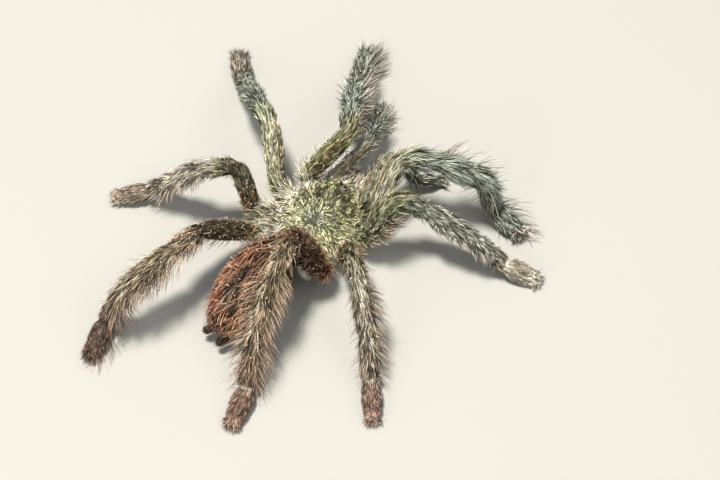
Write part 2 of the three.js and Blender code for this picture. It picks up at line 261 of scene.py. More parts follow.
def lathe(rings: Array) -> Shell:
    """Closes a stack of rings into a shell that faces outwards.

    Args:
        rings: Points of each ring, counter-clockwise seen from the last ring.

    Returns:
        The points, and the faces as tuples of point numbers.
    """
    count, sides = rings.shape[:2]
    points = np.vstack([rings.reshape(-1, 3), rings[0].mean(0), rings[-1].mean(0)])
    first, last = count * sides, count * sides + 1
    faces: list[tuple[int, ...]] = []
    for k in range(sides):
        n = (k + 1) % sides
        faces.append((first, n, k))
        faces.append((last, (count - 1) * sides + k, (count - 1) * sides + n))
        for j in range(count - 1):
            faces.append((j * sides + k, j * sides + n, (j + 1) * sides + n, (j + 1) * sides + k))
    return points, faces


def ring_stack(
    centres: Array, up: Array, side: Array, high: Array, wide: Array, sides: int
) -> Array:
    """Returns rings round the centres, counter-clockwise about up x side."""
    turn = np.arange(sides) * FULL_TURN / sides
    return (
        centres[:, None]
        + up[:, None] * (high[:, None] * np.cos(turn))[..., None]
        + side[:, None] * (wide[:, None] * np.sin(turn))[..., None]
    )


def blob(
    centre: Sequence[float], radii: Sequence[float], sides: int = 20, rings: int = 12
) -> Shell:
    """Returns a closed rounded shell about a centre."""
    turn = np.linspace(0.02, math.pi - 0.02, rings)
    centres = np.array(centre) + np.array([0, 0, -1.0]) * (radii[2] * np.cos(turn))[:, None]
    up, side = np.tile([1.0, 0, 0], (rings, 1)), np.tile([0, 1.0, 0], (rings, 1))
    return lathe(
        ring_stack(centres, up, side, radii[0] * np.sin(turn), radii[1] * np.sin(turn), sides)
    )


class Region:
    """A part of the body with its own shape, lay of coat and markings."""

    hairs: dict[Kind, Hair] = {}

    def shells(self) -> list[Shell]:
        """Returns the closed shells of the flesh."""
        raise NotImplementedError

    def read(self, points: Array) -> Reading:
        """Returns what the plan says of places on this region's skin."""
        raise NotImplementedError

    def growth(self, kind: Kind, reading: Reading) -> Growth:
        """Returns how thick and how long a kind of hair grows at the places."""
        usual = np.ones(len(reading.along))
        return Growth(usual, usual)


def wrapped_chart(around: Array, along: Array) -> Array:
    """Returns a chart that unrolls a tube over its full width, by its places along, 0 to 1."""
    return np.stack([0.02 + 0.96 * (around / 360 + 0.5), along], 1)


def half_chart(mirror: int, around: Array, share: Array) -> Array:
    """Returns a chart that unrolls one of a pair of tubes over its own half."""
    half = 0.25 if mirror > 0 else 0.75
    return np.stack([half + 0.46 * (around / 360), 0.03 + 0.94 * share], 1)


# ---------------------------------------------------------------- limbs


@dataclass(frozen=True)
class LimbPlan:
    """How one limb is held and tinted.

    A bearing is measured from straight out sideways, positive towards the head, and a pitch from
    level, positive upwards. The last stretches reach down to the ankle's and the toe's height.
    """

    name: str
    base: Triple  # where its femur starts, on the left side's half
    bearings: tuple[float, ...]
    pitches: tuple[float, ...]
    warmth: float
    ankle: float = 2.45
    # On the right fourth leg this femur darkness is mostly painted shade; on the others it is the
    # femur's own colour.
    femur_dark_and_shade: float = 0.0  # how dark the femur is
    mauve: float = 0.5  # how plum the foot is
    toe: float = 0.7  # how pink the toe is
    frost: float = 0.0  # how pale the foot is
    shag: float = 0.0  # how much longer than usual the femur's hair is
    rust: float = 0.0  # how rusty it is
    comb: Span = (0.5, 0.5)  # how thick bristles stand on its front and on its rear
    reach: float = 1.0  # how long those bristles are beside the usual
    brush: float = 0.0  # how thick they stand on its foot
    tuft: float = 0.0  # how white a tuft stands at its base
    full: float = 0.0  # how far the coat stands out from its tibia and metatarsus
    splay: float = 0.3  # how far the coat there turns away from its back
    velvet: float = 1.0  # how short and flat its foot's hair lies
    blush: float = 0.15  # how rosy its whole foot is
    green: float = 0.8  # how olive its femur is
    # How pale the femur is: partly its own pale colour, partly painted light where the femur faces
    # away from the lamps.
    pallor_and_painted_light: float = 0.1  # how pale its femur is
    pale: float = 0.0  # how pale it is from its patella to its foot
    ringed: float = 0.0  # how pale the ring above its foot is
    fringe: float = 0.0  # how thick bristles stand under its femur
    groups: tuple[float, ...] = ()  # places at which the bristles gather
    flow: float = 1.0  # how long the coat's hairs are beside the usual
    murk: float = 0.0  # how dark its foot is
    stripe: float = 0.0  # how pale the line along its back is

    @property
    def mirror(self) -> int:
        """1 on the animal's left and -1 on its right."""
        return 1 if self.name.startswith("left") else -1

    @property
    def pair(self) -> str:
        """The name that it shares with its twin."""
        return self.name.split("_", 1)[1]

    @property
    def is_palp(self) -> bool:
        """Whether it is one of the two palps."""
        return self.pair == "palp"


LIMB_PLANS = (
    LimbPlan(
        "left_leg_1", (7.5, -6.3, 5.2), (122, 54, 55, 58, 64), (52, -17, -37), 0.1, femur_dark_and_shade=0.16,
        mauve=0.1, toe=0.0, comb=(1.5, 0.05), reach=1.45, brush=1.0, tuft=0.6, full=0.3, splay=0.1,
        velvet=0.0, blush=0.0, flow=0.9,
    ),
    LimbPlan(
        "left_leg_2", (10.3, -1.3, 5.2), (42, 25, 33, 37, 40), (59, -12, -40), 0.12, mauve=0.4,
        toe=0.0, comb=(0.4, 0.1), reach=0.6, brush=0.1, green=0.85, pallor_and_painted_light=0.45, velvet=0.6,
        blush=0.05, flow=0.9,
    ),
    LimbPlan(
        "left_leg_3", (10.3, 5.2, 5.2), (9, -43, -19, -26, -46), (72, 3, -52), 0.45, femur_dark_and_shade=0.8,
        toe=0.6, rust=0.5, comb=(0.1, 1.1), full=0.1, pale=0.35, frost=0.22, ringed=0.2, flow=1.1,
    ),
    LimbPlan(
        "left_leg_4", (7.0, 8.6, 5.2), (-67, -89, -76, -54, -108), (40, 17, -14), 0.85, femur_dark_and_shade=0.82,
        mauve=0.9, toe=0.0, rust=0.2, comb=(0.1, 2.0), reach=1.4, brush=0.3, full=0.1, blush=0.0,
        velvet=0.9, pale=0.08, ringed=0.1, murk=0.35,
    ),
    LimbPlan(
        "right_leg_1", (7.3, -7.1, 5.2), (93, 27, 30, 33, -2), (51, 8, -24), 0.02, pale=0.12,
        ankle=3.6, mauve=0.1, toe=0.3, comb=(1.6, 0.1), reach=1.6, brush=0.6, full=0.1, splay=0.05,
        velvet=0.3, blush=0.0, green=0.45, pallor_and_painted_light=0.32, ringed=0.3, groups=(2.15, 3.05, 3.4, 3.75),
        flow=1.4,
    ),
    LimbPlan(
        "right_leg_2", (9.4, -2.9, 5.2), (62, 37, 15, 23, 18), (61, -37, -21), 0.1, femur_dark_and_shade=0.2,
        mauve=0.6, toe=0.2, frost=0.75, shag=0.3, comb=(0.1, 1.0), reach=0.55, green=0.7, blush=0.1,
        pale=0.2, ringed=0.9, fringe=1.0, splay=0.1, flow=0.85, murk=-0.3,
    ),
    LimbPlan(
        "right_leg_3", (9.3, 2.2, 5.2), (-42, -34, -39, -44, -48), (68, -11, -44), 0.6, femur_dark_and_shade=0.4,
        mauve=0.6, shag=0.4, rust=0.25, comb=(1.5, 0.3), reach=1.1, full=0.1, blush=0.2, pale=0.12,
        ringed=0.55, splay=0.15, stripe=0.7,
    ),
    LimbPlan(
        "right_leg_4", (7.8, 7.0, 5.2), (-146, -73, -76, -61, -73), (66, 3, -43), 0.9, femur_dark_and_shade=0.97,
        mauve=0.8, toe=0.6, shag=0.7, rust=0.6, comb=(1.8, 1.5), reach=1.4, full=0.15, splay=0.35,
        blush=0.2, pale=0.05, ringed=0.55, murk=0.1, stripe=0.25,
    ),
    LimbPlan(
        "left_palp", (3.9, -8.0, 4.6), (108, 66, 61, 55), (33, -29, -36), 0.1, mauve=0.05, toe=0.0,
        comb=(1.3, 0.8), reach=1.6, brush=1.0, full=0.7, velvet=0.0, blush=0.0, green=0.15,
        pallor_and_painted_light=0.35, flow=1.1,
    ),
    LimbPlan(
        "right_palp", (3.9, -8.0, 4.6), (92, 65, 32, 54), (50, -37, -66), 0.25, mauve=0.1, toe=0.1,
        comb=(0.9, 0.5), reach=1.2, brush=0.4, full=0.3, velvet=0.2, green=0.3, pallor_and_painted_light=0.3,
        blush=0.0,
    ),
)


@dataclass(frozen=True)
class LimbSizes:
    """Lengths and girths that the limbs share."""

    lengths: dict[str, tuple[float, ...]] = field(
        default_factory=lambda: {
            "palp": (10.0, 4.6, 6.8, 5.4),
            "leg_1": (12.8, 7.0, 9.6, 8.8, 6.0),
            "leg_2": (12.2, 6.6, 9.6, 8.4, 6.0),
            "leg_3": (10.6, 6.4, 8.6, 8.6, 6.2),
            "leg_4": (12.4, 6.9, 11.0, 11.0, 6.2),
        }
    )
    stoutness: dict[str, float] = field(
        default_factory=lambda: {
            "palp": 0.7, "leg_1": 1.06, "leg_2": 1.08, "leg_3": 0.96, "leg_4": 1.04
        }
    )
    # Radius over the coat at the start, middle and end of each stretch.
    radii: tuple[Triple, ...] = (
        (1.6, 2.05, 1.75),
        (1.7, 1.85, 1.75),
        (1.8, 2.5, 2.15),
        (2.05, 2.25, 1.85),
        (1.8, 1.95, 1.5),
    )
    # Share of that radius which is flesh, by place along the limb.
    flesh_places: tuple[float, ...] = (-1, 0, 0.5, 1, 1.5, 2, 2.5, 3, 3.5, 4, 4.5, 5)
    flesh_shares: tuple[float, ...] = (
        0.84, 0.78, 0.8, 0.8, 0.84, 0.76, 0.66, 0.66, 0.66, 0.72, 0.8, 0.8,
    )
    # How thick its combs of bristles stand, by place along the limb.
    comb_places: tuple[float, ...] = (-1, 0, 0.3, 1, 1.4, 2, 2.3, 3, 3.4, 3.86, 3.96)
    comb_shares: tuple[float, ...] = (0.8, 0.6, 0.15, 0.2, 0.4, 0.7, 1, 1, 1, 0.6, 0)
    coxa_inset: float = 0.62
    coxa_z: float = 3.6
    sternum_y: float = -1.4
    toe_z: float = 1.3
    palp_toe_z: float = 0.9
    bend: float = 2.3
    palp_bend: float = 1.4
    toe_rounding: float = 1.1
    toe_turns: tuple[float, ...] = (0.25, 0.5, 0.72, 0.9)  # rings of the rounding, 0 to 1
    lobe: float = 0.42  # a toe lobe's size beside the toe's radius
    lobe_aside: float = 0.52  # and how far it stands to the side
    foot_broader: float = 0.1
    foot_lower: float = 0.08
    warm_thinning: float = 0.05  # how much thinner warm-tinted limbs' bristles are
    joint_pinch: float = 0.09
    sole_z: float = 0.2
    step: float = 0.25
    sides: int = 24


# Where the patella, tibia, metatarsus and tarsus start and the toe ends, as places along a limb
# are counted. The coxa starts at -1 and the femur at 0.
KNEE, SHIN, HEEL, FOOT, TOE = range(1, 6)

LIMB_HAIRS = {
    Kind.DOWN: Hair(11, (0.5, 0.95), 0.08, (10, 22), 8, 9, tone=(0.0, 0.2)),
    Kind.LOCK: Hair(
        13.0, (1.9, 3.1), 0.09, (5, 12), 7, 6, rings=2, strands=2, spread=0.05, gather=0.3,
        tipped=0.1, wave=14,
    ),
    Kind.BRISTLE: Hair(
        7.0, (2.2, 3.6), 0.145, (40, 66), 26, 9, rings=3, tipped=1.0, wave=12, tone=(0.2, 0.85)
    ),
    Kind.SPECK: Hair(0.7, (0.75, 1.0), 0.26, (62, 86), 0, 10, tipped=1.0, tone=(0.9, 1.0)),
}


@dataclass(frozen=True)
class LimbPattern:
    """Where lines and patches run round a limb, in degrees from its back towards its front.

    Attributes:
        back: Where its lit back starts to fade, and where it ends.
        belly: Where painted shade on its belly starts, and where it is full.
        tan: Start, full start, fading and end of the tan field on the femur.
        lines: Strength, place and breadth of each yellow line on the femur.
        edges: Place and breadth of the dark edges of those lines.
        stripe: Place and breadth of the pale line along the back.
        bands: Place and breadth of the two dark bands on the patella.
        spots: Place and breadth of the two pale spots at the end of the tibia.
        sides: Where the side starts that carries combs of bristles, and where it is full.
        waver: How far the lines stray.
    """

    back: Span = (45, 100)
    belly: Span = (110, 160)
    tan: tuple[float, float, float, float] = (26, 32, 58, 66)
    lines: tuple[Triple, ...] = ((1.0, 22, 5), (0.8, 72, 7), (0.35, -24, 4))
    edges: tuple[Span, ...] = ((30, 4), (62, 4))
    stripe: Span = (-14, 8)
    bands: Span = (17, 4)
    spots: Span = (26, 14)
    sides: Span = (30, 75)
    waver: float = 5


PATTERN = LimbPattern()


class Limb(Region):
    """A leg or a palp, from its coxa's inner end to its toe."""

    def __init__(self, plan: LimbPlan, sizes: LimbSizes) -> None:
        """Walks the limb's centre line and measures it.

        Args:
            plan: How it is held.
            sizes: The lengths and girths that all limbs share.
        """
        self.plan = plan
        self.sizes = sizes
        bristle = LIMB_HAIRS[Kind.BRISTLE]
        thin = bristle.width - sizes.warm_thinning * plan.warmth
        self.hairs = {**LIMB_HAIRS, Kind.BRISTLE: replace(bristle, width=thin)}
        reach = sizes.palp_bend if plan.is_palp else sizes.bend
        points, marks = self._walk(self._joints(), reach)
        lengths = np.concatenate([[0], np.cumsum(np.linalg.norm(np.diff(points, axis=0), axis=1))])
        count = int(lengths[-1] / sizes.step)
        self.s = np.linspace(0, lengths[-1], count)
        self.centre = np.stack([np.interp(self.s, lengths, points[:, i]) for i in range(3)], 1)
        self.way = unit(np.gradient(self.centre, axis=0))
        up = np.array([0, 0, 1.0]) - self.way * self.way[:, 2:]
        self.up = unit(up)
        self.fore = plan.mirror * np.cross(self.way, self.up)
        self.marks = np.array(marks)
        self.q = self._stretch_of(self.s)
        self.coat_radius = self._coat_radius(self.q)
        shares = np.interp(self.q, sizes.flesh_places, sizes.flesh_shares)
        pinch = sum(hump(self.q, joint, 0.07) for joint in (KNEE, SHIN, HEEL, FOOT))
        self.radius = self.coat_radius * shares * (1 - sizes.joint_pinch * pinch)

    def _joints(self) -> list[Array]:
        """Returns the limb's joints, from its coxa's inner end to its toe."""
        plan, sizes = self.plan, self.sizes
        base = np.array(plan.base) * [plan.mirror, 1, 1]
        inner = np.array([base[0], base[1] - sizes.sternum_y, 0]) * (1 - sizes.coxa_inset)
        inner += [0, sizes.sternum_y, sizes.coxa_z]
        reached = [sizes.palp_toe_z] if plan.is_palp else [plan.ankle, sizes.toe_z]
        joints = [inner, base]
        for i, length in enumerate(sizes.lengths[plan.pair]):
            start = joints[-1]
            if i < len(plan.pitches):
                steep = math.radians(plan.pitches[i])
            else:
                steep = math.asin((reached[i - len(plan.pitches)] - start[2]) / length)
            turn = math.radians(plan.bearings[i])
            flat = np.array([plan.mirror * math.cos(turn), -math.sin(turn), 0]) * math.cos(steep)
            joints.append(start + length * (flat + [0, 0, math.sin(steep)]))
        return joints

    @staticmethod
    def _walk(joints: list[Array], reach: float) -> tuple[Array, list[float]]:
        """Rounds the bends of the line through the joints.

        Args:
            joints: The joints in order.
            reach: How far a bend reaches along each stretch.

        Returns:
            Close points along the line, and the lengths along it at which the joints lie.
        """
        line, marks, start = [joints[0]], [0.0], joints[0]
        walked = 0.0
        t = np.linspace(0, 1, 33)[1:, None]
        for i in range(1, len(joints) - 1):
            here = joints[i]
            before = here + unit(joints[i - 1] - here) * reach
            after = here + unit(joints[i + 1] - here) * reach
            walked += float(np.linalg.norm(before - start))
            bend = before * (1 - t) ** 2 + here * 2 * t * (1 - t) + after * t**2
            steps = np.vstack([before, bend])
            length = float(np.linalg.norm(np.diff(steps, axis=0), axis=1).sum())
            marks.append(walked + length / 2)
            walked += length
            line += [before, *bend]
            start = after
        line.append(joints[-1])
        marks.append(walked + float(np.linalg.norm(joints[-1] - start)))
        return np.array(line), marks

    def _stretch_of(self, s: Array) -> Array:
        """Returns the places in stretches: -1 to 0 is the coxa, and 4 to 5 the tarsus."""
        q = np.interp(s, self.marks, np.arange(len(self.marks)) - 1.0)
        return np.where(q > HEEL, q + 1, q) if self.plan.is_palp else q

    def _coat_radius(self, q: Array) -> Array:
        """Returns the radius over the coat at places along the limb."""
        index = np.clip(np.floor(q), 0, 4).astype(int)
        index = np.where((index == 3) & self.plan.is_palp, 2, index)
        table = np.array(self.sizes.radii)[index]
        share = np.clip(q - index, 0, 1)
        radius = three_point((table[:, 0], table[:, 1], table[:, 2]), share)
        window = np.ones(5) / 5
        padded = np.pad(radius, 2, mode="edge")
        return self.sizes.stoutness[self.plan.pair] * np.convolve(padded, window, "valid")

    def shells(self) -> list[Shell]:
        """Returns the limb's tube and the two lobes at its toe."""
        sizes = self.sizes
        turns = np.array(sizes.toe_turns) * math.pi / 2
        more = len(turns)
        last = self.radius[-1]
        run = sizes.toe_rounding * 0.7
        rounding = self.centre[-1] + self.way[-1] * (run * np.sin(turns))[:, None]
        centre = np.vstack([self.centre, rounding])
        radius = np.concatenate([self.radius, last * np.cos(turns)])
        up = np.vstack([self.up, np.tile(self.up[-1], (more, 1))])
        fore = np.vstack([self.fore, np.tile(self.fore[-1], (more, 1))])
        q = np.concatenate([self.q, np.full(more, float(TOE))])
        broad = 1 + sizes.foot_broader * rise(q, 3.2, 4.3)
        low = 1 - sizes.foot_lower * rise(q, 3.2, 4.3)
        side = fore if self.plan.mirror > 0 else -fore
        rings = ring_stack(centre, up, -side, radius * low, radius * broad, sizes.sides)
        rings = rings[:, ::-1]
        rings[..., 2] = np.maximum(rings[..., 2], sizes.sole_z)
        found = [lathe(rings)]
        lobe = sizes.lobe * last
        tip = self.centre[-1] + self.way[-1] * run * 0.75
        for way in (1, -1):
            middle = tip + self.fore[-1] * way * sizes.lobe_aside * last
            middle[2] = max(middle[2], sizes.sole_z + lobe)
            found.append(blob(middle, (lobe * 1.15, lobe * 1.15, lobe), 14, 8))
        return found

    def read(self, points: Array) -> Reading:
        """Returns what the plan says of places on the limb's skin.

        Args:
            points: The places.

        Returns:
            The reading, with its place along in stretches.
        """
        nearest = np.empty(len(points), int)
        for i in range(0, len(points), NEIGHBOURS):
            gaps = points[i : i + NEIGHBOURS, None] - self.centre
            nearest[i : i + NEIGHBOURS] = (gaps**2).sum(2).argmin(1)
        offset = points - self.centre[nearest]
        way, fore, up = self.way[nearest], self.fore[nearest], self.up[nearest]
        s = self.s[nearest] + dot(offset, way)
        around = np.degrees(np.arctan2(dot(offset, fore), dot(offset, up)))
        q = self._stretch_of(np.clip(s, 0, self.s[-1]))
        chart = wrapped_chart(around, 0.02 + 0.96 * s / (self.s[-1] + 1.2))
        bent = np.radians(around)[:, None]
        down = fore * np.cos(bent) - up * np.sin(bent)
        turned = self.plan.splay * rise(q, KNEE, 1.8) * (1 - rise(q, 3.8, FOOT))
        turned = turned * np.tanh(around / 30) * (1 - rise(np.abs(around), 130, 165))
        lay = unit(way + down * turned[:, None])
        found = Reading(points, lay, np.clip(chart, 0.01, 0.99), q, around)
        self._colour(found)
        return found

    def _colour(self, reading: Reading) -> None:
        """Sets the limb's markings, with its painted light and shade, on a reading."""
        plan, q, around = self.plan, reading.along, reading.around
        cloud = LIMB_CLOUD.at(reading.points)
        front = 1 - plan.warmth
        back = 1 - rise(np.abs(around), *PATTERN.back)
        foot = rise(q, 2.9, 3.6)
        thigh = rise(q, 0.04, 0.14) * (1 - rise(q, 0.95, 1.4))
        bent = around + PATTERN.waver * cloud
        start, full, fading, gone = PATTERN.tan
        tan = rise(bent, start, full) * (1 - rise(bent, fading, gone)) * thigh * front
        coxa, dusky = rise(-q, 0.02, 0.25), 1 - rise(q, 0.9, 1.6)
        ruff = coxa * (plan.mirror > 0)
        warm = plan.warmth * (1 - 0.35 * foot * (1 - back))
        reading.mark(Marking.WARM, warm + 0.08 * cloud + 0.95 * tan + 0.6 * ruff)
        olive = front * (plan.green * (1 - rise(q, 0.8, 1.8))) * (1 - 0.65 * tan)
        olive = olive + 0.12 * front * plan.green + 0.1 * cloud + 0.2 * plan.femur_dark_and_shade * dusky
        mossy = (0.5 if plan.mirror < 0 else 0.35) * coxa * (1 - plan.rust)
        reading.mark(Marking.OLIVE, olive + mossy)
        lines = sum(strong * hump(bent, place, broad) for strong, place, broad in PATTERN.lines)
        gold = lines * thigh * (1 - 0.6 * hump(q, KNEE, 0.08)) * front
        reading.mark(Marking.GOLD, gold * (0.8 + 0.2 * cloud))
        reading.mark(Marking.PLUM, rise(q, 3.0, 4.1) * plan.mauve * (0.35 + 0.65 * back))
        toe = rise(q, 4.8, 4.96) * (0.3 + 0.7 * back)
        blush = plan.blush * (0.7 + 0.4 * cloud) * rise(q, FOOT, 4.3) * (0.4 + 0.6 * back)
        reading.mark(Marking.ROSE, 0.8 * toe * plan.toe + blush)
        rusty = rise(q, -0.1, 0.05) * (1 - rise(q, 0.2 + plan.shag, 0.5 + plan.shag))
        reading.mark(Marking.RUST, plan.rust * rusty + 0.06 * tan)
        if plan.is_palp:
            ring = spots = np.zeros(len(q))
        else:
            ring = 1.1 * plan.ringed * hump(q, FOOT, 0.055) * (0.3 + 0.7 * back)
            spots = 0.9 * self._spots(q, around)
        base = coxa * (0.85 if plan.mirror > 0 else 0.3)
        base = base * (1 - 0.6 * plan.rust * (plan.mirror < 0))
        tuft = self._tuft(q, around)
        frost = plan.frost * rise(q, 3.9, 4.05) * (0.7 + 0.9 * rise(q, 4.7, 4.95))
        end = 0.45 * rise(q, 4.92, TOE) * plan.toe + frost
        calf = plan.pale * rise(q, 1.2, SHIN) * (1 - 0.3 * foot) * (1 - rise(q, 3.8, FOOT))
        # The femur is paler, more so towards its rear, and the calf too: partly their own colour,
        # partly painted light.
        pallor_and_painted_light = (0.15 * rise(-bent, -22, 0) * front + plan.pallor_and_painted_light * front) * thigh + calf
        line = plan.stripe * hump(bent, *PATTERN.stripe)
        line = line * rise(q, 1.1, 1.5) * (1 - rise(q, 2.9, 3.2))
        pale = ring + spots + end + line + 0.6 * tuft + pallor_and_painted_light + base * (1.0 + 0.2 * cloud)
        reading.mark(Marking.PALE, pale)
        # A darker femur: its own colour, and on the right fourth leg painted shade.
        femur = plan.femur_dark_and_shade * dusky * rise(q, -0.05, 0.25)
        edges = sum(hump(bent, *edge) for edge in PATTERN.edges) * thigh * front
        belly = rise(np.abs(around), *PATTERN.belly)
        patella = rise(q, 1.12, 1.25) * (1 - rise(q, 1.8, 1.92))
        bands = hump(np.abs(around), *PATTERN.bands) * patella
        # Painted shade at the joint of patella and tibia, and on the limb's belly.
        shade = femur + 0.2 * hump(q, SHIN, 0.05) + 0.25 * belly * (1 - rise(q, 3.4, FOOT))
        shade = shade + 0.75 * edges + 0.4 * bands + plan.murk * foot
        reading.mark(Marking.SHADE, shade * (1 - tuft))

    def _tuft(self, q: Array, around: Array) -> Array:
        """Returns where the white tuft at the limb's base stands, 0 to 1."""
        return self.plan.tuft * hump(q, -0.04, 0.22) * (1 - rise(around, 10, 60))

    @staticmethod
    def _spots(q: Array, around: Array) -> Array:
        """Returns where the two pale spots at the end of the tibia lie, 0 to 1."""
        return hump(q, HEEL, 0.045) * hump(np.abs(around), *PATTERN.spots)

    def growth(self, kind: Kind, reading: Reading) -> Growth:
        """Returns how a kind of hair grows at the places.

        Args:
            kind: The layer of the coat.
            reading: What the plan says of the places.

        Returns:
            Its thickness, length, looseness and evenness.
        """
        q, around = reading.along, reading.around
        plan = self.plan
        small = 0.72 if plan.is_palp else 1.0
        bare = reading.of(Marking.GOLD)
        ring = plan.ringed * hump(q, FOOT, 0.04) * (1 - rise(np.abs(around), 70, 120))
        foot = rise(q, 3.9, 4.15)
        ruff = rise(-q, -0.16, 0.15)
        tuft = self._tuft(q, around)
        femur = (1 - rise(q, 0.7, 1.4)) * (1 - ruff)
        shag = plan.shag * femur
        smooth_thigh = femur * (1 - plan.shag)
        full = plan.full * rise(q, 1.4, SHIN) * (0.75 + 0.5 * rise(q, 3.3, 3.7))
        full = full * (1 - rise(q, 3.86, 3.98))
        velvet = plan.velvet * foot
        tip = rise(q, 4.9, 5.0)
        if kind is Kind.SPECK:
            dusky = plan.femur_dark_and_shade * (1 - rise(q, 1.6, 2.6)) + 0.3 * plan.warmth
            thick = dusky * (1 - foot) * (1 - rise(np.abs(around), 70, 110))
            return Growth(thick, small * np.ones(len(q)))
        if kind is Kind.DOWN:
            sole = foot * rise(np.abs(around), 120, 150)
            long = small * (1 - 0.3 * velvet) * (1 - 0.5 * sole)
            return Growth((1 - 0.5 * bare) * (1 - 0.85 * ring), long, 1 + 2.5 * tip, 0.5 * velvet)
        if kind is Kind.LOCK:
            thick = (1 - 0.5 * bare) * (1 - ring) * (0.62 + 0.38 * foot)
            hem = 0.65 * rise(q, 3.72, 3.95) * (1 - foot) * plan.velvet
            hem = hem + 0.7 * self._spots(q + 0.03, around)
            near = 0.52 * velvet + 0.15 * foot * (1 - plan.velvet)
            long = small * (1 - 0.2 * femur + 0.1 * ruff + shag + 0.12 * full) * (1 - near)
            long = long * (1 - np.minimum(hem, 0.8)) * (plan.flow + (1 - plan.flow) * foot)
            loose = 1 - 0.3 * smooth_thigh + 1.6 * ruff + 1.2 * shag + 1.1 * full
            loose = loose + 0.4 * velvet + 3.5 * tip
            return Growth(thick, long, loose, 0.45 * velvet + 0.3 * smooth_thigh + 0.4 * ruff)
        front, rear = plan.comb
        side = rise(np.abs(around), *PATTERN.sides) * (1 - 0.7 * rise(np.abs(around), 125, 165))
        standing = np.where(around > 0, front, rear) * side
        by_place = np.interp(q, self.sizes.comb_places, self.sizes.comb_shares)
        if plan.groups:
            by_place = by_place * (0.2 + 0.9 * sum(hump(q, place, 0.13) for place in plan.groups))
        by_place = np.maximum(by_place, np.minimum(1, 1.6 * shag))
        by_place = np.maximum(by_place, np.maximum(plan.brush * foot, plan.fringe * femur))
        reach = plan.reach + (1.7 - plan.reach) * plan.fringe * femur
        long = small * reach * (0.62 + 0.38 * rise(q, 1.6, 2.4))
        long = long * (1 - 0.2 * rise(q, 3.4, 3.9) * (1 - plan.brush))
        long = long * (0.75 + 0.35 * np.minimum(1, standing)) * (1 + 0.5 * tuft)
        return Growth(np.maximum(by_place * (0.02 + 0.5 * standing), tuft) * (1 - bare), long)


# ---------------------------------------------------------------- body


SHIELD_HAIRS = {
    Kind.DOWN: Hair(24, (0.4, 0.8), 0.08, (14, 32), 14, 30, tone=(0.0, 0.15)),
    Kind.LOCK: Hair(
        16, (0.7, 1.3), 0.08, (8, 26), 22, 24, rings=3, strands=2, spread=0.06, gather=0.4,
        tipped=0.15, wave=28,
    ),
    Kind.BRISTLE: Hair(
        3.4, (1.6, 2.8), 0.11, (14, 36), 24, 26, rings=4, tipped=0.5, wave=34, tone=(0.3, 1.0)
    ),
}


